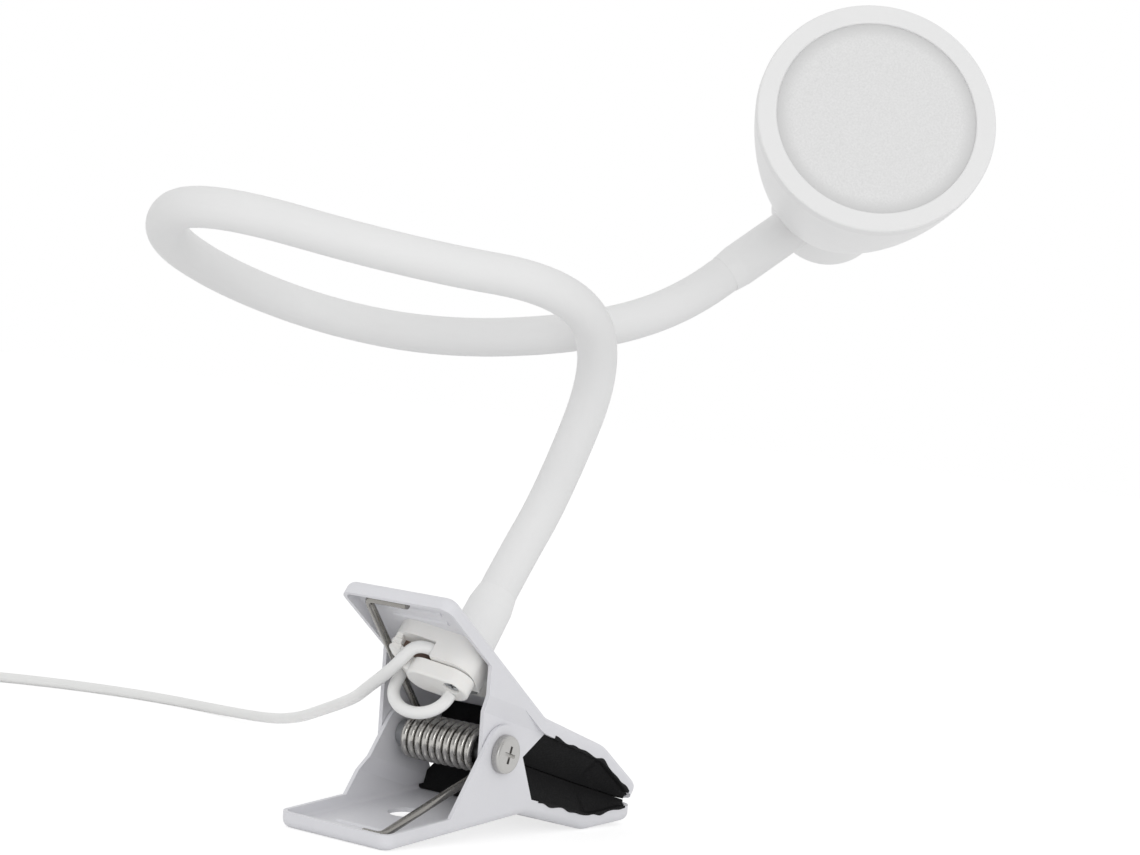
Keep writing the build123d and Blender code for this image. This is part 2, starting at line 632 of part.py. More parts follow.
def neck_piece(start, end, radius):
    """A round rod along part of the neck, by distance from the handle."""
    path = NECK.trim(start / NECK_LENGTH, end / NECK_LENGTH)
    return sweep(Plane(path @ 0, z_dir=path % 0) * Circle(radius), path=path)


def bend_place(i):
    """Where the neck bends, z along it."""
    share = BEND_AT[i] / NECK_LENGTH
    return Plane(NECK.position_at(share), z_dir=NECK.tangent_at(share)).location


def neck_sleeve(i):
    """One stretch of the soft cover, between two bends."""
    start = BASE_COLLAR_LENGTH if i == 0 else BEND_AT[i - 1] + BEND_GAP
    end = SLEEVE_END if i == len(BEND_AT) else BEND_AT[i] - BEND_GAP
    return neck_piece(start, end, SLEEVE_RADIUS) - neck_piece(start, end, CORE_RADIUS + CORE_GAP)


def neck_core(i):
    """One stretch of the steel core: a round seat at its foot, a dome at its top."""
    first, last = i == 0, i == len(BEND_AT)
    start = BASE_COLLAR_LENGTH - COLLAR_WALL_LAP if first else BEND_AT[i - 1] + SEAT_RIM
    end = SLEEVE_END + COLLAR_WALL_LAP if last else BEND_AT[i]
    core = neck_piece(start, end, CORE_RADIUS)
    bore_end = end
    if not last:
        core += bend_place(i) * Sphere(DOME_RADIUS)
        bore_end = end + 2 * DOME_RADIUS
    if not first:
        core -= bend_place(i - 1) * Sphere(DOME_RADIUS + BEND_PLAY)
    return core - neck_piece(start, bore_end, CORE_BORE / 2)


def neck_lead(i):
    """One stretch of the two-wire lead inside the core, through its dome and short of the next."""
    dome_top = math.sqrt(DOME_RADIUS**2 - (CORE_BORE / 2) ** 2)
    start = LEAD_START if i == 0 else BEND_AT[i - 1] + DOME_RADIUS + BEND_PLAY
    end = NECK_LENGTH if i == len(BEND_AT) else BEND_AT[i] + dome_top - BEND_PLAY
    return neck_piece(start, end, LEAD_DIAMETER / 2)


def collar_solid(foot, shoulder, length):
    """A round collar, its far end sloped down to the neck's cover."""
    start = length - COLLAR_TAPER
    lip = SLEEVE_RADIUS + COLLAR_LIP
    section = [(0, 0), (foot / 2, 0), (shoulder / 2, start), (lip, length), (0, length)]
    half = make_face(Polyline(*section, close=True))
    return turned(fillet(half.vertices().sort_by(Axis.X)[-2:].sort_by(Axis.Y)[-1:], COLLAR_EASE))


def base_collar():
    """Ferrule that holds the core, with a threaded nipple through the handle."""
    wall = BASE_COLLAR_LENGTH - COLLAR_WALL_LAP
    collar = collar_solid(BASE_COLLAR_FOOT, BASE_COLLAR_TOP, BASE_COLLAR_LENGTH)
    collar += below(Cylinder, NIPPLE_DIAMETER / 2, SHEET + ANCHOR_PLATE + NUT_HEIGHT)
    collar -= Pos(0, 0, wall) * low(Cylinder, CORE_RADIUS + CLOSE_FIT, COLLAR_WALL_LAP)
    collar -= Cylinder(CORE_BORE / 2, CUT)
    return Plane(NECK @ 0, z_dir=NECK % 0).location * collar


def housing_profile(inset, tail_inset):
    """Half section of the bell, in from its outer face; x is the radius, y the depth."""
    start = BEZEL_DEPTH
    middle = (HEAD_DEPTH + BEZEL_DEPTH) / 2
    belly = ThreePointArc(
        (HEAD_RADIUS - inset, -start), (HEAD_BELLY - inset, -middle), (HEAD_RIDGE - inset, -HEAD_DEPTH)
    )
    tail = HEAD_DEPTH + TAIL_DEPTH - tail_inset
    shell = belly + Polyline(
        (HEAD_RIDGE - inset, -HEAD_DEPTH),
        (TAIL_RADIUS - inset, -HEAD_DEPTH - RIDGE_STEP),
        (TAIL_RADIUS - inset, -tail),
        (0, -tail),
        (0, -start),
        (HEAD_RADIUS - inset, -start),
    )
    return make_face(shell.edges())


def turned(profile):
    return revolve(Plane.XZ * profile, Axis.Z)


def housing_solid():
    body = turned(housing_profile(0, 0))
    rear = body.faces().sort_by(Axis.Z)[0]
    return fillet(rear.edges(), TAIL_EDGE)


SKIRT_RADIUS = HEAD_RADIUS - HEAD_WALL - FIT


def head_housing():
    """Bell shell with a ledge for the board, a hole for the neck and one for the button."""
    ledge = low(Cylinder, HEAD_RADIUS, LEDGE_HEIGHT)
    ledge -= low(Cylinder, BOARD_RADIUS - LEDGE_WIDTH, LEDGE_HEIGHT)
    ledge = Pos(0, 0, -BOARD_DEPTH - BOARD - LEDGE_HEIGHT) * ledge
    outside = housing_solid()
    shell = outside - turned(housing_profile(HEAD_WALL, HEAD_WALL)) + (ledge & outside)
    shell -= Pos(0, 0, -BOARD_DEPTH - BOARD) * low(Cylinder, BOARD_RADIUS + FIT, BOARD_DEPTH)
    shell -= Pos(0, 0, -BEZEL_DEPTH) * Cylinder(SKIRT_RADIUS + FIT, 2 * BEZEL_SKIRT + 2 * FIT)
    across = Pos(0, 0, -NECK_ENTRY) * Rot(0, 90, 0)
    shell -= across * low(Cylinder, SPIGOT_DIAMETER / 2 + FIT, 2 * HEAD_RADIUS)
    shell -= Pos(0, 0, -HEAD_DEPTH - TAIL_DEPTH) * Cylinder(BUTTON_RADIUS + BUTTON_PLAY, 4 * HEAD_WALL)
    for place in PolarLocations(BOARD_SCREW_CIRCLE, BOARD_SCREWS):
        hole = Cylinder(BOARD_SCREW_DIAMETER / 2 + CLOSE_FIT, 2 * BOARD_SCREW_LENGTH)
        shell -= Pos(0, 0, -BOARD_DEPTH - BOARD) * place * hole
    return HEAD * shell


def front_bezel():
    """Flat front ring; its skirt plugs into the housing."""
    ring = Pos(0, 0, -BEZEL_DEPTH) * low(Cylinder, HEAD_RADIUS, BEZEL_DEPTH)
    ring = fillet(ring.faces().sort_by(Axis.Z)[-1].edges(), BEZEL_EDGE)
    ring += Pos(0, 0, -BEZEL_DEPTH - BEZEL_SKIRT) * low(Cylinder, SKIRT_RADIUS, BEZEL_SKIRT)
    seat = APERTURE_RADIUS + DIFFUSER_LAP
    ring -= Pos(0, 0, -BEZEL_LIP) * below(Cylinder, seat + FIT, CUT)
    ring -= Cylinder(APERTURE_RADIUS, CUT)
    circles = ring.edges().filter_by(GeomType.CIRCLE)
    lip = circles.filter_by(lambda e: abs(e.radius - APERTURE_RADIUS) < CLOSE_FIT)
    return HEAD * fillet(lip.sort_by(Axis.Z)[-1:], BEZEL_LIP_EDGE)


def diffuser():
    disc = low(Cylinder, APERTURE_RADIUS + DIFFUSER_LAP, DIFFUSER)
    return HEAD * Pos(0, 0, -BEZEL_LIP - DIFFUSER) * disc


def reflector_ring():
    """White wall between board and diffuser, inside the ring of screws; it props the diffuser."""
    height = BOARD_DEPTH - BEZEL_LIP - DIFFUSER
    outer = BOARD_SCREW_CIRCLE - BOARD_SCREW_HEAD / 2 - BUTTON_PLAY
    ring = low(Cylinder, outer, height) - low(Cylinder, outer - REFLECTOR_WALL, height)
    return HEAD * Pos(0, 0, -BOARD_DEPTH) * ring


def led_board():
    board = low(Cylinder, BOARD_RADIUS, BOARD) - low(Cylinder, LEAD_DIAMETER / 2, BOARD)
    for place in PolarLocations(BOARD_SCREW_CIRCLE, BOARD_SCREWS):
        board -= place * low(Cylinder, BOARD_SCREW_DIAMETER / 2 + FIT, BOARD)
    return HEAD * Pos(0, 0, -BOARD_DEPTH - BOARD) * board


def board_screws():
    shank = below(Cylinder, BOARD_SCREW_DIAMETER / 2, BOARD_SCREW_LENGTH)
    screw = shank + low(Cylinder, BOARD_SCREW_HEAD / 2, BOARD_SCREW_HEAD_HEIGHT)
    circle = PolarLocations(BOARD_SCREW_CIRCLE, BOARD_SCREWS)
    return [HEAD.location * Pos(0, 0, -BOARD_DEPTH) * place * screw for place in circle]


def led_chips():
    chips = []
    for count, radius in zip(LED_COUNTS, LED_CIRCLES):
        for place in PolarLocations(radius, count):
            chips.append(HEAD.location * Pos(0, 0, -BOARD_DEPTH) * place * low(Box, *LED_SIZE))
    return chips


REAR = HEAD_DEPTH + TAIL_DEPTH
BUTTON_INSIDE = REAR - HEAD_WALL - BUTTON_THICKNESS / 2


def switch_button():
    """Rear push button: a cap through the tail, held by a flange inside."""
    cap = low(Cylinder, BUTTON_RADIUS, REAR + BUTTON_PROUD - BUTTON_INSIDE)
    cap = Pos(0, 0, -REAR - BUTTON_PROUD) * cap
    cap = fillet(cap.faces().sort_by(Axis.Z)[0].edges(), BUTTON_EDGE)
    flange = low(Cylinder, BUTTON_RADIUS + BUTTON_FLANGE, BUTTON_FLANGE)
    return HEAD * (cap + Pos(0, 0, -REAR + HEAD_WALL + BUTTON_PLAY) * flange)


def switch_body():
    """Push switch inside the tail; the pressed button stops just short of its plunger."""
    plunger_end = BUTTON_INSIDE - BUTTON_TRAVEL - PLUNGER_PLAY
    body = Pos(0, 0, -plunger_end + PLUNGER_LENGTH) * low(Box, *SWITCH_SIZE)
    plunger = Pos(0, 0, -plunger_end) * low(Cylinder, PLUNGER_RADIUS, 2 * PLUNGER_LENGTH)
    return HEAD * (body + plunger)


def tip_collar():
    """Socket between neck and head, seated on the housing's side."""
    outer = collar_solid(TIP_COLLAR_DIAMETER, TIP_COLLAR_DIAMETER, TIP_COLLAR_LENGTH + TAIL_RADIUS)
    across = Pos(0, 0, -NECK_ENTRY) * Rot(0, 90, 0)
    collar = across * outer - housing_solid()
    spigot = low(Cylinder, SPIGOT_DIAMETER / 2, 2 * SPIGOT_LENGTH)
    collar += across * Pos(0, 0, TAIL_RADIUS - SPIGOT_LENGTH) * spigot
    socket = low(Cylinder, CORE_RADIUS + CLOSE_FIT, 2 * COLLAR_WALL_LAP)
    collar -= across * Pos(0, 0, TAIL_RADIUS + TIP_COLLAR_LENGTH - COLLAR_WALL_LAP) * socket
    return HEAD * (collar - across * low(Cylinder, CORE_BORE / 2, CUT))


def tip_nut():
    """Ring nut on the collar's spigot, as far out as the round wall lets it sit."""
    radius = SPIGOT_DIAMETER / 2 + TIP_NUT_WALL
    nut = low(Cylinder, radius, TIP_NUT_HEIGHT)
    nut -= low(Cylinder, SPIGOT_DIAMETER / 2 + CLOSE_FIT, TIP_NUT_HEIGHT)
    top = math.sqrt((TAIL_RADIUS - HEAD_WALL) ** 2 - radius**2) - FIT
    return HEAD * Pos(0, 0, -NECK_ENTRY) * Rot(0, 90, 0) * Pos(0, 0, top - TIP_NUT_HEIGHT) * nut


def cord_rod(path):
    return sweep(Plane(path @ 0, z_dir=path % 0) * Circle(CORD_DIAMETER / 2), path=path)


MOUTH = (STAND * anchor_plane(0) * Pos(*CORD_MOUTH)).position
CORD, CORD_RADII = rounded_route([MOUTH, *CORD_ROUTE])
COIL_RADIUS_OUT = COIL_MID_DIAMETER / 2 + COIL_BAND / 2
OUTER_TURN = COIL_RADIUS_OUT - CORD_DIAMETER / 2


def coil_location():
    """The coil's middle on the table, turned so that x points at where the cord comes in."""
    heading = CORD % 1
    inwards = Vector(-heading.Y, heading.X, 0)
    centre = CORD @ 1 + inwards * OUTER_TURN
    return Plane((centre.X, centre.Y, 0), x_dir=-inwards, z_dir=(0, 0, 1)).location


COIL = coil_location()
TAIL = COIL * Rot(0, 0, TAIL_AT) * Pos(OUTER_TURN, 0, 0) * Rot(0, 0, 90)


def tail_lead():
    """The cord's other end, from the top of the coil down to the plug; x is the way it runs."""
    top, plug = COIL_HEIGHT - CORD_DIAMETER / 2, PLUG_BODY[2] / 2
    knee = (TAIL_RUN + TAIL_LEVEL) / 2
    points = [(0, 0, top), (TAIL_LEVEL, 0, top), (knee, 0, plug), (TAIL_RUN, 0, plug)]
    return TAIL * cord_rod(rounded_route(points)[0])


def tie_box(cut_radial, bottom, top):
    """A block across the coil's band, where the tie goes round it."""
    block = low(Box, COIL_BAND - 2 * cut_radial, TIE_WIDTH, top - bottom)
    return COIL * Rot(0, 0, TIE_AT) * Pos(COIL_MID_DIAMETER / 2, 0, bottom) * block


def cord_tie():
    outside = tie_box(-TIE_THICKNESS, 0, COIL_HEIGHT + TIE_THICKNESS)
    return outside - tie_box(TIE_PINCH, TIE_THICKNESS, COIL_HEIGHT - TIE_PINCH)


def coil_channel(place, floor):
    """Room in the coil for a cord that leaves it along x, in the layer on this floor."""
    width = CORD_DIAMETER + 2 * FIT
    room = low(Box, COIL_MID_DIAMETER, width, CORD_DIAMETER + FIT)
    return place * Pos(COIL_MID_DIAMETER / 2, 0, floor) * room


def cord_coil():
    """The rest of the cord, coiled and tied: a ring as tall and as wide as its turns."""
    ring = low(Cylinder, COIL_RADIUS_OUT, COIL_HEIGHT)
    ring -= low(Cylinder, COIL_RADIUS_OUT - COIL_BAND, COIL_HEIGHT)
    end = CORD @ 1
    entry = Plane((end.X, end.Y, 0), x_dir=CORD % 1 * -1, z_dir=(0, 0, 1)).location
    ends = coil_channel(entry, 0) + coil_channel(TAIL, COIL_HEIGHT - CORD_DIAMETER - FIT)
    return COIL * ring - ends - cord_tie()


def at_plug(distance, height):
    return TAIL * Pos(TAIL_RUN + distance, 0, height)


def along_x(sizes):
    return Box(*sizes, align=(Align.MIN, Align.CENTER, Align.CENTER))


def plug_body():
    body = along_x(PLUG_BODY)
    return at_plug(0, PLUG_BODY[2] / 2) * fillet(body.edges(), PLUG_BODY_EDGE)


def plug_shell():
    """Sheet-metal sleeve with two windows in its upper side."""
    length, width, height = PLUG_SHELL
    shell = along_x(PLUG_SHELL)
    shell -= along_x((length, width - 2 * PLUG_WALL, height - 2 * PLUG_WALL))
    for side in (-1, 1):
        window = Box(*PLUG_WINDOW, height, align=(Align.CENTER, Align.CENTER, Align.MIN))
        shell -= Pos(length - PLUG_WINDOW_FROM_END, side * width / 4, 0) * window
    return at_plug(PLUG_BODY[0], PLUG_BODY[2] / 2) * shell


def plug_tongue():
    height = (PLUG_BODY[2] - PLUG_SHELL[2] + PLUG_TONGUE[2]) / 2 + PLUG_WALL
    return at_plug(PLUG_BODY[0], height) * along_x(PLUG_TONGUE)


NODES = {}


def add(name, pieces):
    """Keep a node: one piece, or several like ones."""
    NODES[name] = pieces if isinstance(pieces, list) else [pieces]


UPPER = lever()
LINER_BODY = liner()
add("upper_lever", STAND * UPPER)
add("lower_lever", STAND * TURNED * UPPER)
add("upper_jaw_liner", STAND * LINER_BODY)
add("lower_jaw_liner", STAND * TURNED * LINER_BODY)
add("pivot_tube", STAND * pivot_tube())
add("pivot_screws", [STAND * screw for screw in pivot_screws()])
add("torsion_spring", STAND * torsion_spring())
add("anchor_base", STAND * anchor_base())
add("anchor_saddle", STAND * anchor_saddle())
add("saddle_screw", STAND * saddle_screw())
add("neck_nut", STAND * neck_nut())
add("cord_loop", STAND * cord_loop())
add("base_collar", base_collar())
for number in range(len(BEND_AT) + 1):
    add(f"neck_sleeve_{number + 1}", neck_sleeve(number))
    add(f"neck_core_{number + 1}", neck_core(number))
    add(f"neck_lead_{number + 1}", neck_lead(number))
add("tip_collar", tip_collar())
add("tip_nut", tip_nut())
add("head_housing", head_housing())
add("front_bezel", front_bezel())
add("diffuser", diffuser())
add("reflector_ring", reflector_ring())
add("led_board", led_board())
add("led_chips", led_chips())
add("board_screws", board_screws())
add("switch_body", switch_body())
add("switch_button", switch_button())

boxes = [piece.bounding_box() for pieces in NODES.values() for piece in pieces]
low_x, high_x = min(b.min.X for b in boxes), max(b.max.X for b in boxes)
low_y, high_y = min(b.min.Y for b in boxes), max(b.max.Y for b in boxes)
low_z = min(b.min.Z for b in boxes)
ORIGIN = Vector((low_x + high_x) / 2, (low_y + high_y) / 2, low_z)

add("cord_tube", cord_rod(CORD))
add("cord_coil", cord_coil())
add("cord_tie", cord_tie())
add("tail_lead", tail_lead())
add("plug_body", plug_body())
add("plug_shell", plug_shell())
add("plug_tongue", plug_tongue())

os.makedirs("parts", exist_ok=True)
for name, pieces in NODES.items():
    moved = [Pos(-ORIGIN) * piece for piece in pieces]
    export_step(moved[0] if len(moved) == 1 else Compound(children=moved), f"parts/{name}.step")

print("origin", ORIGIN, "stance", STANCE, "pivot height", PIVOT_HEIGHT, "neck length", NECK_LENGTH)
print("cord radii", [round(r, 1) for r in CORD_RADII], "mouth", MOUTH - ORIGIN, "coil", COIL.position - ORIGIN)
print("neck radii", [round(r, 1) for r in NECK_RADII])
for number in range(len(BEND_AT)):
    bend = Plane(bend_place(number))
    print("bend", number + 1, bend.origin - ORIGIN, bend.z_dir)
print("head axis", HEAD.z_dir, "centre", HEAD.origin - ORIGIN, "neck side", HEAD.x_dir)
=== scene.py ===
"""Clip-on reading lamp: its finishes, its soft and wound pieces, and the studio that it stands in.

Lengths in the tables are millimetres, as in the part's own drawing; point() turns them into the frame's metres.
"""
import json
import math

import bmesh
import bpy
from mathutils import Matrix, Vector


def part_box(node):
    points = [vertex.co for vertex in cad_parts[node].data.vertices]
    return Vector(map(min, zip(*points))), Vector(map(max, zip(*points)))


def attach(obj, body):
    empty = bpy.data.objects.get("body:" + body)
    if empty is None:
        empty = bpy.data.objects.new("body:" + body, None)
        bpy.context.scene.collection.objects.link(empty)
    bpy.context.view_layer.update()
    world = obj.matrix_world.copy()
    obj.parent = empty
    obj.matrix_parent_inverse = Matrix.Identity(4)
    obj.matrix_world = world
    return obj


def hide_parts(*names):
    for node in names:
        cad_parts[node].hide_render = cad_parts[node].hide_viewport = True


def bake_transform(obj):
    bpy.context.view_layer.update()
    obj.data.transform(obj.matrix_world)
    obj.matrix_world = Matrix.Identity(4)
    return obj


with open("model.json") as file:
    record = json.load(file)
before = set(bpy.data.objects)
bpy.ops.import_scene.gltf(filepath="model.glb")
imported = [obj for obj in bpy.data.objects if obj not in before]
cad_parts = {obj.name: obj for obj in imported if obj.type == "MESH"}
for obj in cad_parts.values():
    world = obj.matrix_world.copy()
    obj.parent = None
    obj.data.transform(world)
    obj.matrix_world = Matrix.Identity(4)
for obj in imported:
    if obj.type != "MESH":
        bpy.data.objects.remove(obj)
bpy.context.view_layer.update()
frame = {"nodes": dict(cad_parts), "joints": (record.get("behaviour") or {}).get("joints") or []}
cad = frame["nodes"]

MM = 0.001
FOOTPRINT_CENTRE = Vector((10.3423, -13.8974, 0.0))
PIVOT_HEIGHT = 24.308
STANCE = math.radians(13.9598)


def point(x, y, z):
    """A point of the drawing, in the frame's metres."""
    return (Vector((x, y, z)) - FOOTPRINT_CENTRE) * MM


def in_clamp(x, y, z):
    """A point of the clamp's own drawing, about its pivot, in the frame's metres."""
    turned = Matrix.Rotation(STANCE, 3, "Y") @ Vector((x, y, z))
    return point(turned.x, turned.y, turned.z + PIVOT_HEIGHT)


def linear(hex_colour):
    """An sRGB hex colour as linear red, green, blue and alpha."""
    parts = [int(hex_colour[i:i + 2], 16) / 255 for i in (1, 3, 5)]
    return (*[c / 12.92 if c <= 0.04045 else ((c + 0.055) / 1.055) ** 2.4 for c in parts], 1.0)


def put(tree, kind, inputs=None, **settings):
    """Adds a node. Inputs are values, or other nodes' outputs, by the socket's name or number."""
    made = tree.nodes.new(kind)
    for name, value in settings.items():
        setattr(made, name, value)
    for socket, value in (inputs or {}).items():
        if isinstance(value, bpy.types.NodeSocket):
            tree.links.new(value, made.inputs[socket])
        else:
            made.inputs[socket].default_value = value
    return made


def shown(name, data):
    """A new object in the scene with this mesh, curve, lamp or camera."""
    made = bpy.data.objects.new(name, data)
    bpy.context.collection.objects.link(made)
    return made


def smoothed(mesh, crisp):
    """Shades a mesh smooth; edges that turn by more than crisp degrees stay sharp."""
    mesh.shade_smooth()
    mesh.set_sharp_from_angle(angle=math.radians(crisp))


# Camera, at the photograph's viewpoint

SENSOR_WIDTH = 36.0
FOCAL_LENGTH = 88.42
CAMERA_SPOT = (-630.1, -465.0, 129.2)
CAMERA_AHEAD = Vector((0.8218, 0.5695, -0.0170))
CAMERA_RIGHT = Vector((0.5672, -0.8149, 0.1195))
CLIP_RANGE_M = (0.05, 30.0)


def photograph_camera():
    data = bpy.data.cameras.new("camera")
    data.sensor_width = SENSOR_WIDTH
    data.lens = FOCAL_LENGTH
    data.clip_start, data.clip_end = CLIP_RANGE_M
    back = -CAMERA_AHEAD.normalized()
    up = back.cross(CAMERA_RIGHT).normalized()
    right = up.cross(back)
    camera = shown("camera", data)
    turned = Matrix((right, up, back)).transposed().to_4x4()
    camera.matrix_world = Matrix.Translation(point(*CAMERA_SPOT)) @ turned
    bpy.context.scene.camera = camera


photograph_camera()


# Finishes

NOISE_RANGE = (0.3, 0.7)
CLOUD_DETAIL = 3.0
# Painted shade on the spring wire: millimetres from the pivot axis over which the wire lightens, then over which
# the legs turn darker
WIRE_PAINTED_SHADE = (5.3, 6.4)
LEGS_PAINTED_DARKER = (6.8, 9.0)
DIFFUSER_RIM = (22.5, 27.8)


def per_mm(size):
    """A texture's scale for features of this many millimetres, on coordinates in metres."""
    return 1000.0 / size


def finish(name, colour, roughness, **sockets):
    """A material with its shader, and the coordinates that its pattern reads."""
    material = bpy.data.materials.new(name)
    material.use_nodes = True
    tree = material.node_tree
    shader = tree.nodes["Principled BSDF"]
    shader.inputs["Base Color"].default_value = linear(colour)
    shader.inputs["Roughness"].default_value = roughness
    for socket, value in sockets.items():
        shader.inputs[socket.replace("_", " ")].default_value = value
    place = put(tree, "ShaderNodeTexCoord").outputs["Object"]
    return material, tree, shader, place


def grain(tree, shader, place, size, depth, rough, detail=2.0):
    """Roughness and bump from one grain; size and depth in millimetres, rough as (low, high)."""
    spots = put(tree, "ShaderNodeTexNoise", {"Vector": place, "Scale": per_mm(size), "Detail": detail}).outputs[0]
    spread = put(tree, "ShaderNodeMapRange", {
        "Value": spots, "From Min": NOISE_RANGE[0], "From Max": NOISE_RANGE[1],
        "To Min": rough[0], "To Max": rough[1]})
    tree.links.new(spread.outputs[0], shader.inputs["Roughness"])
    bump = put(tree, "ShaderNodeBump", {"Height": spots, "Distance": depth * MM, "Strength": 1.0})
    tree.links.new(bump.outputs[0], shader.inputs["Normal"])
    return spots


def mixed(tree, share, first, second):
    """A colour between two; each of them is a hex colour or another node's output."""
    first, second = (linear(c) if isinstance(c, str) else c for c in (first, second))
    return put(tree, "ShaderNodeMix", {"Factor": share, 6: first, 7: second}, data_type="RGBA").outputs[2]


def drift(tree, shader, place, size, light, dark):
    """A slow change of shade over the surface, between two colours."""
    clouds = put(tree, "ShaderNodeTexNoise", {"Vector": place, "Scale": per_mm(size), "Detail": CLOUD_DETAIL})
    tree.links.new(mixed(tree, clouds.outputs[0], light, dark), shader.inputs["Base Color"])


def from_pivot(tree, place):
    """Metres out from the clamp's pivot axis."""
    pivot = in_clamp(0, 0, 0)
    flat = put(tree, "ShaderNodeVectorMath", {0: place, 1: (1.0, 0.0, 1.0)}, operation="MULTIPLY")
    out = put(tree, "ShaderNodeVectorMath", {0: flat.outputs[0], 1: (pivot.x, 0.0, pivot.z)}, operation="DISTANCE")
    return out.outputs["Value"]


def fade(tree, metres, ends):
    """From 0 at one distance to 1 at another, with soft ends; the two are in millimetres."""
    return put(tree, "ShaderNodeMapRange", {
        "Value": metres, "From Min": ends[0] * MM, "From Max": ends[1] * MM, "To Min": 0.0, "To Max": 1.0},
        interpolation_type="SMOOTHSTEP").outputs[0]


def powder_coated_steel():
    """Baked white powder on pressed steel: faintly blue, with a fine orange peel that breaks up its gloss."""
    material, tree, shader, place = finish("powder_coated_steel", "#DFDFE3", 0.42)
    grain(tree, shader, place, size=0.9, depth=0.035, rough=(0.36, 0.52))
    drift(tree, shader, place, size=18.0, light="#E1E1E5", dark="#DBDBDF")
    return material


def nitrile_rubber():
    """Black moulded rubber: nearly no gloss, a fine dusty grain."""
    material, tree, shader, place = finish("nitrile_rubber", "#141415", 0.8, Specular_IOR_Level=0.18)
    grain(tree, shader, place, size=0.5, depth=0.05, rough=(0.68, 0.9), detail=4.0)
    drift(tree, shader, place, size=9.0, light="#111112", dark="#1A1A1B")
    return material


def nickel_plated_spring_steel():
    """Drawn wire under nickel, with painted shade and painted reflections: dark on the coil's inner side, as shade
    between the turns, light on its outer side, and a duller grey along the legs.
    """
    material, tree, shader, place = finish("nickel_plated_spring_steel", "#CDCBC7", 0.2, Metallic=1.0)
    grain(tree, shader, place, size=1.6, depth=0.004, rough=(0.16, 0.3), detail=3.0)
    # Painted shade and painted reflection: darker towards the coil's axis, lighter on its outside, darker grey
    # along the legs
    out = from_pivot(tree, place)
    wound = mixed(tree, fade(tree, out, WIRE_PAINTED_SHADE), "#5A5956", "#BDBBB7")
    whole = mixed(tree, fade(tree, out, LEGS_PAINTED_DARKER), wound, "#93918D")
    tree.links.new(whole, shader.inputs["Base Color"])
    return material


def nickel_plated_screw_steel():
    """Headed and tumbled steel under nickel: bright, softer than the wire, with fine scratches."""
    material, tree, shader, place = finish("nickel_plated_screw_steel", "#B9B8B6", 0.3, Metallic=1.0)
    grain(tree, shader, place, size=1.2, depth=0.0008, rough=(0.26, 0.38), detail=3.0)
    return material


def zinc_plated_steel():
    """Plain zinc on hidden steel parts: grey, slightly cloudy."""
    material, tree, shader, place = finish("zinc_plated_steel", "#B4B6B8", 0.38, Metallic=1.0)
    grain(tree, shader, place, size=1.5, depth=0.01, rough=(0.3, 0.48), detail=3.0)
    return material


def extruded_silicone():
    """White silicone tube: matt, a little light goes in, and the surface is faintly uneven to the touch."""
    material, tree, shader, place = finish(
        "extruded_silicone", "#E8E8E8", 0.56, Subsurface_Weight=0.15, Subsurface_Radius=(0.002, 0.002, 0.002))
    grain(tree, shader, place, size=0.7, depth=0.02, rough=(0.5, 0.66))
    drift(tree, shader, place, size=30.0, light="#EAEAEA", dark="#E5E5E5")
    return material


def moulded_abs(name, colour, dark, gloss):
    """White ABS from a lightly sparked mould: even colour, satin gloss, a fine texture."""
    material, tree, shader, place = finish(name, colour, gloss)
    grain(tree, shader, place, size=0.45, depth=0.012, rough=(gloss - 0.06, gloss + 0.08))
    drift(tree, shader, place, size=25.0, light=colour, dark=dark)
    return material


def moulded_nylon():
    """Unfilled white nylon: a warmer white than the metal, waxy, with soft gloss."""
    material, tree, shader, place = finish(
        "moulded_nylon", "#F1F0EE", 0.38, Subsurface_Weight=0.2, Subsurface_Radius=(0.002, 0.0018, 0.0016))
    grain(tree, shader, place, size=0.6, depth=0.012, rough=(0.32, 0.46))
    drift(tree, shader, place, size=10.0, light="#F2F1EF", dark="#E9E8E5")
    return material


def frosted_polycarbonate():
    """Opal sheet with a sanded face: speckled, and darker towards the rim, where less light goes through."""
    material, tree, shader, place = finish("frosted_polycarbonate", "#DFDFDF", 0.6)
    specks = grain(tree, shader, place, size=0.55, depth=0.06, rough=(0.5, 0.72), detail=3.0)
    low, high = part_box("diffuser")
    centre = (low + high) / 2
    out = put(tree, "ShaderNodeVectorMath", {0: place, 1: centre}, operation="DISTANCE")
    face = mixed(tree, specks, "#D2D2D2", "#EAEAEA")
    whole = mixed(tree, fade(tree, out.outputs["Value"], DIFFUSER_RIM), face, "#CDCDCD")
    tree.links.new(whole, shader.inputs["Base Color"])
    return material


def pvc_jacket():
    """Extruded white PVC: smooth and slightly greasy, with a soft gloss along its length."""
    material, tree, shader, place = finish(
        "pvc_jacket", "#EFEFEE", 0.4, Subsurface_Weight=0.1, Subsurface_Radius=(0.0015, 0.0015, 0.0015))
    grain(tree, shader, place, size=1.2, depth=0.012, rough=(0.34, 0.48))
    drift(tree, shader, place, size=12.0, light="#F0F0EF", dark="#E8E8E7")
    return material


def plain_finish(name, colour, dark, roughness, size):
    """A small part, or one inside the lamp: its colour, a cloudy shade and a grain."""
    material, tree, shader, place = finish(name, colour, roughness)
    grain(tree, shader, place, size=size, depth=0.01, rough=(roughness - 0.08, roughness + 0.08))
    drift(tree, shader, place, size=6.0, light=colour, dark=dark)
    return material


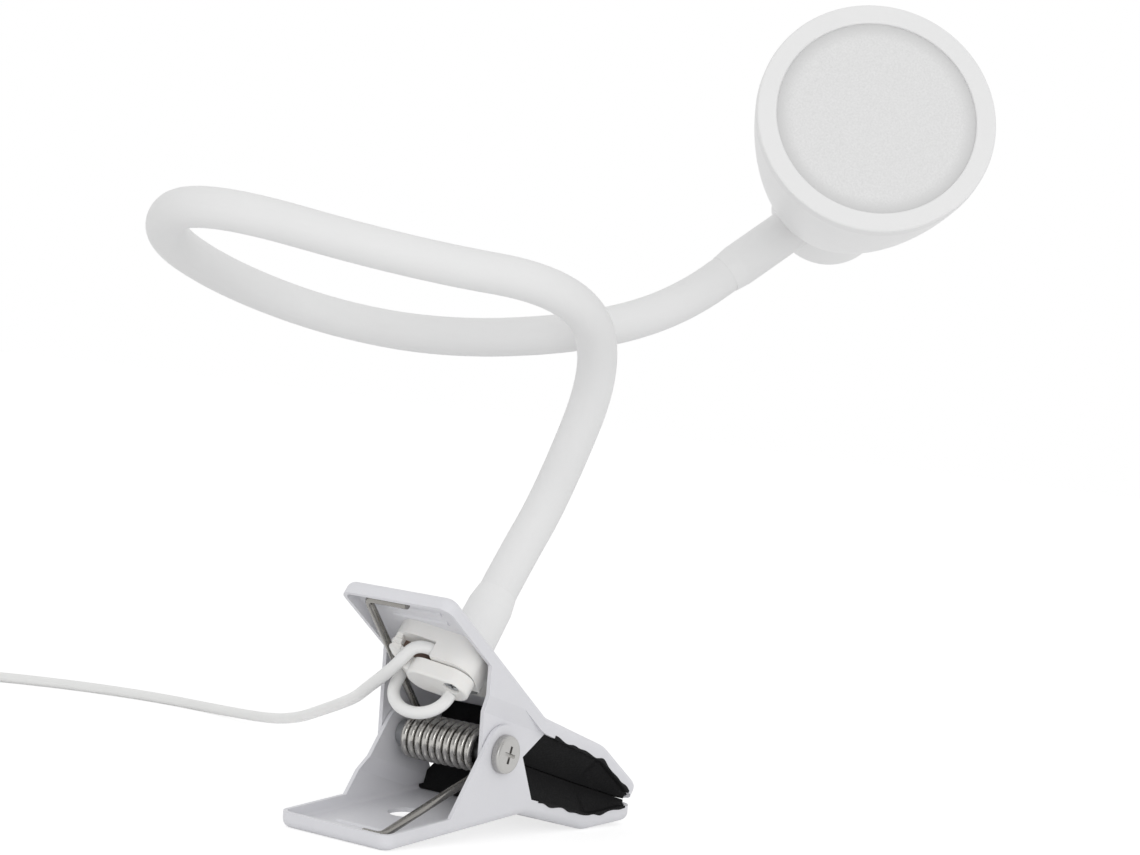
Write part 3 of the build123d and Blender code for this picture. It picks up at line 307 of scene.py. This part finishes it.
COATED = powder_coated_steel()
RUBBER = nitrile_rubber()
SPRING_NICKEL = nickel_plated_spring_steel()
SCREW_NICKEL = nickel_plated_screw_steel()
ZINC = zinc_plated_steel()
SILICONE = extruded_silicone()
# Painted light: the housing's white is lighter than the bezel's, though both are one ABS, to lift the shade on its
# sides and underside
HOUSING_ABS_LIGHTENED = moulded_abs("housing_abs_lightened", "#EDEDED", "#E8E8E8", gloss=0.42)
BEZEL_ABS = moulded_abs("bezel_abs", "#E9E9E9", "#E5E5E5", gloss=0.42)
COLLAR_ABS = moulded_abs("collar_abs", "#EAEAEA", "#E6E6E6", gloss=0.5)
NYLON = moulded_nylon()
OPAL = frosted_polycarbonate()
PVC = pvc_jacket()
SOLDER_MASK = plain_finish("white_solder_mask", "#EEEFEA", "#E4E6DF", roughness=0.35, size=0.3)
LED_RESIN = plain_finish("phosphor_resin", "#E9C94E", "#DDB83A", roughness=0.3, size=0.2)
SWITCH_NYLON = plain_finish("switch_nylon", "#26272A", "#1E1F22", roughness=0.5, size=0.3)
LEAD_PVC = plain_finish("lead_insulation", "#D8D8D4", "#CCCCC6", roughness=0.45, size=0.5)
# Painted shade: the brown of the block in the shaded gaps beside the cord
BROWN_GAP_SHADE = plain_finish("brown_gap_shade", "#7A665C", "#6A574E", roughness=0.7, size=0.5)
TIE_PVC = plain_finish("tie_pvc", "#E4E4E2", "#DADAD6", roughness=0.5, size=0.6)

NODE_FINISH = {
    "upper_lever": COATED, "lower_lever": COATED,
    "upper_jaw_liner": RUBBER, "lower_jaw_liner": RUBBER,
    "pivot_tube": ZINC, "pivot_screws": SCREW_NICKEL, "torsion_spring": SPRING_NICKEL,
    "anchor_base": NYLON, "anchor_saddle": NYLON, "saddle_screw": ZINC, "neck_nut": ZINC,
    "cord_loop": PVC, "base_collar": COLLAR_ABS, "tip_collar": COLLAR_ABS, "tip_nut": ZINC,
    "head_housing": HOUSING_ABS_LIGHTENED, "front_bezel": BEZEL_ABS, "diffuser": OPAL, "reflector_ring": BEZEL_ABS,
    "led_board": SOLDER_MASK, "led_chips": LED_RESIN, "board_screws": ZINC,
    "switch_body": SWITCH_NYLON, "switch_button": HOUSING_ABS_LIGHTENED,
    "cord_tube": PVC, "cord_coil": PVC, "tail_lead": PVC, "cord_tie": TIE_PVC,
    "plug_body": PVC, "plug_shell": SCREW_NICKEL, "plug_tongue": NYLON,
}
NECK_FINISH = {"sleeve": SILICONE, "core": ZINC, "lead": LEAD_PVC}
for name, piece in cad.items():
    piece.data.materials.clear()
    piece.data.materials.append(NODE_FINISH[name] if name in NODE_FINISH else NECK_FINISH[name.split("_")[1]])


# Round pieces that follow a line

LINE_STEPS = 12
LINE_ORDER = 3
WHOLE_LINE_M = 10.0
ROUND_CRISP = 40


def smooth_line(name, points):
    """A smooth curve that has these points of the frame as its control points."""
    curve = bpy.data.curves.new(name, "CURVE")
    curve.dimensions = "3D"
    curve.resolution_u = LINE_STEPS
    spline = curve.splines.new("NURBS")
    spline.points.add(len(points) - 1)
    for made, wanted in zip(spline.points, points):
        made.co = (*wanted, 1.0)
    spline.order_u = LINE_ORDER
    spline.use_endpoint_u = True
    return shown(name, curve)


def round_section_tree():
    """A round solid along part of a line, with flat ends."""
    tree = bpy.data.node_groups.new("round_section_along_line", "GeometryNodeTree")
    sockets = tree.interface
    sockets.new_socket("Geometry", in_out="INPUT", socket_type="NodeSocketGeometry")
    for name in ("Radius", "Spacing", "From", "To"):
        sockets.new_socket(name, in_out="INPUT", socket_type="NodeSocketFloat")
    sockets.new_socket("Sides", in_out="INPUT", socket_type="NodeSocketInt")
    sockets.new_socket("Finish", in_out="INPUT", socket_type="NodeSocketMaterial")
    sockets.new_socket("Geometry", in_out="OUTPUT", socket_type="NodeSocketGeometry")
    given = put(tree, "NodeGroupInput").outputs
    # Sockets 4 and 5 are the start and the end as lengths
    part = put(tree, "GeometryNodeTrimCurve", {
        "Curve": given["Geometry"], 4: given["From"], 5: given["To"]}, mode="LENGTH")
    even = put(tree, "GeometryNodeResampleCurve", {
        "Curve": part.outputs[0], "Length": given["Spacing"]}, mode="LENGTH")
    ring = put(tree, "GeometryNodeCurvePrimitiveCircle", {
        "Resolution": given["Sides"], "Radius": given["Radius"]})
    solid = put(tree, "GeometryNodeCurveToMesh", {
        "Curve": even.outputs[0], "Profile Curve": ring.outputs[0], "Fill Caps": True})
    whole = put(tree, "GeometryNodeRealizeInstances", {0: solid.outputs[0]})
    dressed = put(tree, "GeometryNodeSetMaterial", {0: whole.outputs[0], "Material": given["Finish"]})
    put(tree, "NodeGroupOutput", {0: dressed.outputs[0]})
    return tree


ROUND_SECTION = round_section_tree()


def round_piece(line, name, radius, spacing, sides, finish_used, start=0.0, end=WHOLE_LINE_M):
    """A plain mesh, round in section, along a line; radius and spacing in millimetres, the ends in metres."""
    sizes = {"Radius": radius * MM, "Spacing": spacing * MM, "From": start, "To": end,
             "Sides": sides, "Finish": finish_used}
    modifier = line.modifiers.new(name, "NODES")
    modifier.node_group = ROUND_SECTION
    for item in ROUND_SECTION.interface.items_tree:
        if item.in_out == "INPUT" and item.name in sizes:
            modifier[item.identifier] = sizes[item.name]
    bpy.context.view_layer.update()
    seen = line.evaluated_get(bpy.context.evaluated_depsgraph_get())
    mesh = bpy.data.meshes.new_from_object(seen)
    line.modifiers.remove(modifier)
    mesh.name = name
    smoothed(mesh, ROUND_CRISP)
    return shown(name, mesh)


def line_points(line):
    """The points along a smooth line, in the frame."""
    seen = line.evaluated_get(bpy.context.evaluated_depsgraph_get())
    return [v.co.copy() for v in bpy.data.meshes.new_from_object(seen).vertices]


def outside_ring(count):
    """How far outside a circle its control points lie, for the line to follow it, with this many to a turn."""
    return 1 / math.cos(math.pi / count) ** 0.5


# Cord: from the anchor to the table, away to the side, then its coil and plug

CORD_DIAMETER = 3.5
CORD_SPACING = 1.2
CORD_SIDES = 20
CORD_ROUTE = [
    (-13.943, -8.374, 48.133),
    (-20.9, -2.2, 54.4),
    (-22.5, 4.5, 45.3),
    (-15.0, 19.5, 36.6),
    (-4.0, 31.0, 32.4),
    (13.0, 48.0, 27.7),
    (38.0, 77.0, 19.5),
    (68.0, 112.0, 10.0),
    (91.0, 143.0, 4.0),
    (100.0, 172.0, 1.75),
    (97.0, 200.0, 1.75),
    (86.0, 226.0, 1.75),
    (69.0, 248.0, 1.75),
    (49.0, 265.0, 1.75),
]
LOOP_ROUTE = [
    (-10.407, 8.558, 48.152),
    (-14.056, 8.558, 42.773),
    (-17.645, 8.558, 37.486),
    (-19.778, 3.265, 33.651),
    (-19.325, -4.221, 33.344),
    (-16.55, -9.515, 36.743),
    (-14.646, -9.515, 39.548),
]
COIL_ENTRY = Vector((27.0, 278.0))
COIL_ENTRY_ANGLE = math.radians(59.42)
COIL_OUTER = 26.25
COIL_INNER = 15.75
COIL_LAYERS = (1.75, 5.25)
POINTS_PER_TURN = 16
TURNS_PER_LAYER = 3
PLUG_HEIGHT = 3.25
TAIL_ROUTE = ((14.0, COIL_LAYERS[1]), (25.0, PLUG_HEIGHT), (36.0, PLUG_HEIGHT))


def coil_points():
    """Turns laid inwards on the table, a quarter turn up, then the same turns outwards on top, and the tail."""
    centre = COIL_ENTRY - COIL_OUTER * Vector((math.cos(COIL_ENTRY_ANGLE), math.sin(COIL_ENTRY_ANGLE)))
    layer = TURNS_PER_LAYER * POINTS_PER_TURN
    climb = POINTS_PER_TURN // 4
    outside = outside_ring(POINTS_PER_TURN)
    points = []
    for i in range(1, 2 * layer + climb + 1):
        share = min(i, layer) / layer - max(i - layer - climb, 0) / layer
        radius = (COIL_OUTER + (COIL_INNER - COIL_OUTER) * share) * outside
        rise = min(max((i - layer) / climb, 0), 1)
        height = COIL_LAYERS[0] + (COIL_LAYERS[1] - COIL_LAYERS[0]) * rise * rise * (3 - 2 * rise)
        angle = COIL_ENTRY_ANGLE + 2 * math.pi * i / POINTS_PER_TURN
        spot = centre + radius * Vector((math.cos(angle), math.sin(angle)))
        points.append((spot.x, spot.y, height))
    leave = Vector((-math.sin(angle), math.cos(angle)))
    for run, height in TAIL_ROUTE:
        points.append((spot.x + leave.x * run, spot.y + leave.y * run, height))
    return points


def cord_piece(name, control):
    """A length of cord along these points of the drawing, and the line that it follows."""
    line = smooth_line(name + "_line", [point(*p) for p in control])
    path = line_points(line)
    cord = round_piece(line, name, CORD_DIAMETER / 2, CORD_SPACING, CORD_SIDES, PVC)
    bpy.data.objects.remove(line)
    return cord, path


def supply_cord():
    cord, path = cord_piece("supply_cord", [*CORD_ROUTE, (*COIL_ENTRY, COIL_LAYERS[0]), *coil_points()])
    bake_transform(cord)
    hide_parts("cord_tube", "cord_coil", "tail_lead")


def anchor_loop():
    """The short loop that the cord makes under its anchor, from the plate round to the saddle."""
    loop, path = cord_piece("anchor_loop", LOOP_ROUTE)
    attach(loop, "upper_lever")
    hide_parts("cord_loop")


supply_cord()
anchor_loop()


# Gooseneck: one soft cover, cut where the frame's bodies meet

NECK_ROUTE = [
    (11.16, -2.5, 66.63),
    (17.34, -2.5, 75.73),
    (27.5, -6.0, 96.0),
    (22.0, -23.0, 135.5),
    (-11.0, -32.5, 154.0),
    (-46.0, -2.5, 156.0),
    (-82.5, 44.5, 165.5),
    (-63.0, 74.5, 156.5),
    (-19.0, 88.0, 147.0),
    (16.0, 75.0, 139.0),
    (19.0, 33.5, 136.5),
    (26.0, -8.0, 142.0),
    (47.355, -26.659, 152.542),
    (64.994, -39.955, 171.332),
    (73.509, -46.374, 180.404),
]
# Layer, radius, sides and slot
NECK_LAYERS = (
    ("sleeve", 5.6, 40, "sleeve_silicone"),
    ("core", 4.3, 24, "core_steel"),
    ("lead", 1.7, 16, "lead_insulation"),
)
NECK_SPACING = 1.0
NECK_END = 24.0
STRETCH_LAP = 0.4


def neck():
    """Cover, core and lead of each stretch between two cuts, each with one of the neck's bends in its middle."""
    line = smooth_line("neck_line", [point(*p) for p in NECK_ROUTE])
    path = line_points(line)
    reach = [0.0]
    for a, b in zip(path, path[1:]):
        reach.append(reach[-1] + (b - a).length)
    bends = [Vector(j["pos_m"]) for j in frame["joints"] if j["name"].startswith("neck_bend_")]
    at = [min(range(len(path)), key=lambda i: (path[i] - bend).length) for bend in bends]
    cuts = [0.0, *[(reach[a] + reach[b]) / 2 for a, b in zip(at, at[1:])], reach[-1] - NECK_END * MM]
    for i, middle in enumerate(at):
        for layer, radius, sides, slot in NECK_LAYERS:
            piece = round_piece(
                line, f"neck_{layer}_stretch_{i + 1}", radius, NECK_SPACING, sides, NECK_FINISH[layer],
                start=cuts[i], end=cuts[i + 1] + STRETCH_LAP * MM)
            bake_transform(piece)
            replaced = [f"neck_{layer}_{i + 1}"] + ([f"neck_{layer}_{i + 2}"] if middle == at[-1] else [])
            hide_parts(*replaced)
    bpy.data.objects.remove(line)


neck()


# Torsion spring: a wound coil between two straight legs

WIRE_RADIUS = 1.15
WIRE_SPACING = 0.8
WIRE_SIDES = 20
COIL_RADIUS = 5.5
COIL_HALF_LENGTH = 12.88
COIL_PITCH = 2.4985
COIL_STEPS = 24
LEG_START_ANGLE = math.radians(55.95)
LEG_TIP = (-36.01, 30.97)
LEG_CORNER = 4.0
# Lever, its side of the pivot, and how far its leg's hook runs across the handle
LEGS = (("lower", -1, 6.0), ("upper", 1, -14.0))


def wire_piece(name, points):
    line = smooth_line(name + "_line", points)
    piece = round_piece(line, name, WIRE_RADIUS, WIRE_SPACING, WIRE_SIDES, SPRING_NICKEL)
    bpy.data.objects.remove(line)
    return piece


def spring_coil():
    """The wound part, between the two levers, as it lies at rest."""
    turns = 2 * COIL_HALF_LENGTH / COIL_PITCH
    count = round(turns * COIL_STEPS)
    outside = outside_ring(COIL_STEPS)
    wound = []
    for i in range(count + 1):
        angle = -LEG_START_ANGLE + 2 * math.pi * turns * i / count
        radius = COIL_RADIUS * (outside if 0 < i < count else 1.0)
        along = COIL_HALF_LENGTH * (2 * i / count - 1)
        wound.append(in_clamp(radius * math.cos(angle), along, radius * math.sin(angle)))
    coil = wire_piece("spring_coil", wound)
    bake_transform(coil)
    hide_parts("torsion_spring")


def spring_leg(lever, side, hook):
    """A leg from the coil's end along one handle, and its hook."""
    start = Vector((COIL_RADIUS * math.cos(LEG_START_ANGLE), side * COIL_HALF_LENGTH,
                    side * COIL_RADIUS * math.sin(LEG_START_ANGLE)))
    corner = Vector((LEG_TIP[0], side * COIL_HALF_LENGTH, side * LEG_TIP[1]))
    end = corner + Vector((0, hook, 0))
    before = corner - (corner - start).normalized() * LEG_CORNER
    after = corner + (end - corner).normalized() * LEG_CORNER
    leg = wire_piece(f"spring_{lever}_leg", [in_clamp(*p) for p in (start, before, corner, after, end)])
    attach(leg, f"{lever}_lever")


spring_coil()
for leg in LEGS:
    spring_leg(*leg)


# Solid trim on a body

TRIM_CRISP = 50
ROUNDING_STEPS = 3


def mesh_piece(name, body, whole, finish_used, slot, edge=0.0, crisp=TRIM_CRISP):
    """A piece from a closed bmesh, with its edges rounded by this many millimetres."""
    bmesh.ops.recalc_face_normals(whole, faces=whole.faces)
    if edge:
        bmesh.ops.bevel(
            whole, geom=whole.edges, offset=edge * MM, segments=ROUNDING_STEPS, profile=0.5, affect="EDGES",
            clamp_overlap=True)
    mesh = bpy.data.meshes.new(name)
    whole.to_mesh(mesh)
    whole.free()
    mesh.materials.append(finish_used)
    smoothed(mesh, crisp)
    piece = shown(name, mesh)
    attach(piece, body)
    return piece


def lofted_piece(name, body, rings, *looks):
    """A solid that runs through a row of like outlines, closed at its two ends."""
    whole = bmesh.new()
    rings = [[whole.verts.new(p) for p in ring] for ring in rings]
    for ring, following in zip(rings, rings[1:]):
        for j in range(len(ring)):
            k = (j + 1) % len(ring)
            whole.faces.new((ring[j], ring[k], following[k], following[j]))
    whole.faces.new(rings[0])
    whole.faces.new(rings[-1][::-1])
    mesh_piece(name, body, whole, *looks)


# Rubber liners, and their lips, lapped over the edges of the jaws' rims

LINER_START = 15.5
LINER_CRISP = 12
WELD_M = 1e-6
RIM_LINE = [(23.0, 9.17), (48.4, 8.06), (49.85, 7.9), (51.2, 7.55), (68.0, 2.06)]
RIM_OUTSIDE = 19.0
LIP_INSIDE = 17.4
LIP_OUTSIDE = 19.22
LIP_STEP = 0.4
LIP_LAP = 0.46
LEAST_LAP = 0.06
# Length and height of each wave in the lap
LIP_WAVES = ((8.6, 0.20), (13.7, 0.24), (5.4, 0.05))
# The lip's section, as distance from the clamp's middle and height over the rim's edge; the lapped part's heights
# are over the end of the lap
LIP_OVER = ((LIP_INSIDE, -0.5), (LIP_INSIDE, 0.3), (LIP_OUTSIDE - 0.3, 0.3), (LIP_OUTSIDE - 0.08, 0.22),
            (LIP_OUTSIDE, 0.0))
LIP_LAPPED = ((LIP_OUTSIDE, 0.12), (LIP_OUTSIDE - 0.1, 0.0), (RIM_OUTSIDE - 0.1, 0.0))
LIP_UNDER = (RIM_OUTSIDE - 0.3, -0.2)
# Lever, which way up it lies, and where the waves start on its near and far lips
JAWS = (("upper", 1, (0.6, 2.0)), ("lower", -1, (2.6, 4.0)))


def rim_steps():
    """Even steps along the rim's edge in the clamp's side view: place, inward direction and run so far."""
    run = 0.0
    for (x0, z0), (x1, z1) in zip(RIM_LINE, RIM_LINE[1:]):
        length = math.hypot(x1 - x0, z1 - z0)
        count = round(length / LIP_STEP)
        away = Vector(((z1 - z0) / length, -(x1 - x0) / length))
        for i in range(count):
            share = i / count
            yield Vector((x0 + (x1 - x0) * share, z0 + (z1 - z0) * share)), away, run + length * share
        run += length


def liner_lip(name, body, side, flip, phase):
    """A strip that wraps the rim's edge; how far it laps the painted face wanders along the rim."""
    rings = []
    for place, away, run in rim_steps():
        lap = LIP_LAP
        for i, (length, height) in enumerate(LIP_WAVES):
            lap += height * math.sin(2 * math.pi * run / length + phase * (i + 1))
        lap = max(lap, LEAST_LAP)
        section = [*LIP_OVER, *[(y, d - lap) for y, d in LIP_LAPPED], LIP_UNDER]
        rings.append([in_clamp(place.x + away.x * d, side * y, flip * (place.y + away.y * d)) for y, d in section])
    lofted_piece(name, body, rings, RUBBER, "liner_rubber")


def liner(name, body, node):
    """The liner's solid, cut off square behind the jaw."""
    whole = bmesh.new()
    whole.from_mesh(cad[node].data)
    bmesh.ops.remove_doubles(whole, verts=whole.verts, dist=WELD_M)
    pivot, start = in_clamp(0, 0, 0), in_clamp(LINER_START, 0, 0)
    cut = bmesh.ops.bisect_plane(
        whole, geom=[*whole.verts, *whole.edges, *whole.faces], plane_co=start, plane_no=start - pivot,
        clear_inner=True)
    edges = [e for e in cut["geom_cut"] if isinstance(e, bmesh.types.BMEdge)]
    bmesh.ops.triangle_fill(whole, use_beauty=True, use_dissolve=False, edges=edges)
    piece = mesh_piece(name, body, whole, RUBBER, "liner_rubber", crisp=LINER_CRISP)
    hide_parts(node)


for jaw, flip, phases in JAWS:
    for where, side, phase in zip(("near", "far"), (-1, 1), phases):
        liner_lip(f"{jaw}_liner_lip_{where}", f"{jaw}_lever", side, flip, phase)
    liner(f"{jaw}_liner", f"{jaw}_lever", f"{jaw}_jaw_liner")


# Cord anchor: the saddle's tongue under the cord, and a brown block between it and the plate, painted shade in the
# gaps beside the cord

HANDLE_END = Vector((-39.82, 35.2))
HANDLE_SLOPE = math.radians(20.2)
ANCHOR_FROM_END = 35.0
ANCHOR_TURN = math.radians(15.0)
STEEL_THICKNESS = 1.2
TONGUE_SIDE = [
    (3.5, 9.2), (8.0, 7.2), (12.4, 4.9), (13.5, 4.6), (13.9, 5.5), (13.2, 6.4), (13.8, 7.2), (13.2, 8.2),
    (12.2, 8.6), (11.4, 9.3), (9.5, 10.7), (7.0, 12.2), (3.5, 13.2),
]
TONGUE_SPAN = (9.4, 13.4)
TONGUE_EDGE = 0.35
GAP_SHADE_SIDE = [(-1.4, 4.0), (10.6, 4.0), (10.6, 5.6), (3.0, 9.4), (-1.4, 9.4)]
GAP_SHADE_SPAN = (7.0, 12.6)


def in_anchor(forward, left, below):
    """A point of the anchor's own drawing, under the upper handle, in the frame's metres."""
    run = ANCHOR_FROM_END - forward * math.cos(ANCHOR_TURN) - left * math.sin(ANCHOR_TURN)
    across = left * math.cos(ANCHOR_TURN) - forward * math.sin(ANCHOR_TURN)
    depth = below + STEEL_THICKNESS
    along = Vector((math.cos(HANDLE_SLOPE), -math.sin(HANDLE_SLOPE)))
    inwards = Vector((-math.sin(HANDLE_SLOPE), -math.cos(HANDLE_SLOPE)))
    spot = HANDLE_END + along * run + inwards * depth
    return in_clamp(spot.x, across, spot.y)


def anchor_piece(name, side, span, *looks):
    """A piece of the anchor with this outline seen from its front, between two distances from the neck."""
    rings = [[in_anchor(forward, *spot) for spot in side] for forward in span]
    lofted_piece(name, "upper_lever", rings, *looks)


anchor_piece("saddle_tongue", TONGUE_SIDE, TONGUE_SPAN, NYLON, "anchor_plastic", TONGUE_EDGE)
# Painted shade: a dark brown block fills the gaps beside the cord, where they lie in shade
anchor_piece("cord_gap_shade", GAP_SHADE_SIDE, GAP_SHADE_SPAN, BROWN_GAP_SHADE, None)


# Studio: a pale floor under a white surround, one large soft lamp and a smaller one

WHITE = (1.0, 1.0, 1.0, 1.0)
SURROUND_LIGHT = 0.82
DARK_END = (-0.82, -0.57, 0.0)
DARK_END_RANGE = (0.1, 0.9)
DARK_END_LIGHT = 0.3
FLOOR_HALF_M = 6.0
FLOOR_GLOW = 1.28
FLOOR_GLOW_SHARE = 0.58
# Name, place, what it points at, width and power; metres and watts
LAMPS = (
    ("key_lamp", (-0.75, -1.0, 0.75), (0.0, 0.0, 0.12), 1.0, 1.6),
    ("low_lamp", (-0.9, -0.75, 0.25), (0.0, 0.0, 0.15), 0.45, 1.5),
)


def direct_rays(tree):
    """Which rays there are, and 1 for those that show a thing itself, or its mirror image, not its light."""
    ray = put(tree, "ShaderNodeLightPath").outputs
    seen = put(tree, "ShaderNodeMath", {0: ray["Is Camera Ray"], 1: ray["Is Glossy Ray"]}, operation="MAXIMUM")
    seen = put(tree, "ShaderNodeMath", {0: seen.outputs[0], 1: ray["Is Transmission Ray"]}, operation="MAXIMUM")
    return ray, seen.outputs[0]


def white_surround():
    """White all round.

    What is mirrored in metal is dimmer on the lamp's front side, where a studio has its dark end.
    """
    world = bpy.data.worlds.new("surround")
    world.use_nodes = True
    tree = world.node_tree
    ray, seen = direct_rays(tree)
    towards = put(tree, "ShaderNodeTexCoord").outputs["Generated"]
    room = put(tree, "ShaderNodeVectorMath", {0: towards, 1: DARK_END}, operation="DOT_PRODUCT")
    end = put(tree, "ShaderNodeMapRange", {
        "Value": room.outputs["Value"], "From Min": DARK_END_RANGE[0], "From Max": DARK_END_RANGE[1]})
    mirrored = put(tree, "ShaderNodeMath", {0: end.outputs[0], 1: ray["Is Glossy Ray"]}, operation="MULTIPLY")
    image = put(tree, "ShaderNodeMapRange", {"Value": mirrored.outputs[0], "To Min": 1.0, "To Max": DARK_END_LIGHT})
    strength = put(tree, "ShaderNodeMapRange", {
        "Value": seen, "To Min": SURROUND_LIGHT, "To Max": image.outputs[0]})
    light = tree.nodes["Background"]
    light.inputs["Color"].default_value = WHITE
    tree.links.new(strength.outputs[0], light.inputs["Strength"])
    bpy.context.scene.world = world


def floor_paint():
    """White paint that glows a little where it is seen, so that it meets the surround without a line."""
    material = bpy.data.materials.new("floor_paint")
    material.use_nodes = True
    tree = material.node_tree
    tree.nodes.remove(tree.nodes["Principled BSDF"])
    _, seen = direct_rays(tree)
    share = put(tree, "ShaderNodeMath", {0: seen, 1: FLOOR_GLOW_SHARE}, operation="MULTIPLY")
    paint = put(tree, "ShaderNodeBsdfDiffuse", {"Color": linear("#F2F2F2")})
    glow = put(tree, "ShaderNodeEmission", {"Color": WHITE, "Strength": FLOOR_GLOW})
    both = put(tree, "ShaderNodeMixShader", {0: share.outputs[0], 1: paint.outputs[0], 2: glow.outputs[0]})
    tree.links.new(both.outputs[0], tree.nodes["Material Output"].inputs["Surface"])
    return material


def studio_floor():
    mesh = bpy.data.meshes.new("floor")
    corners = [(x * FLOOR_HALF_M, y * FLOOR_HALF_M, 0) for x, y in ((-1, -1), (1, -1), (1, 1), (-1, 1))]
    mesh.from_pydata(corners, [], [(0, 1, 2, 3)])
    mesh.materials.append(floor_paint())
    shown("floor", mesh)


def soft_lamp(name, spot, aim, size, power):
    data = bpy.data.lights.new(name, "AREA")
    data.shape = "DISK"
    data.size = size
    data.energy = power
    lamp = shown(name, data)
    lamp.location = spot
    lamp.rotation_mode = "QUATERNION"
    lamp.rotation_quaternion = (Vector(aim) - Vector(spot)).to_track_quat("-Z", "Y")


white_surround()
studio_floor()
for lamp in LAMPS:
    soft_lamp(*lamp)

bpy.context.scene.view_settings.view_transform = "Standard"
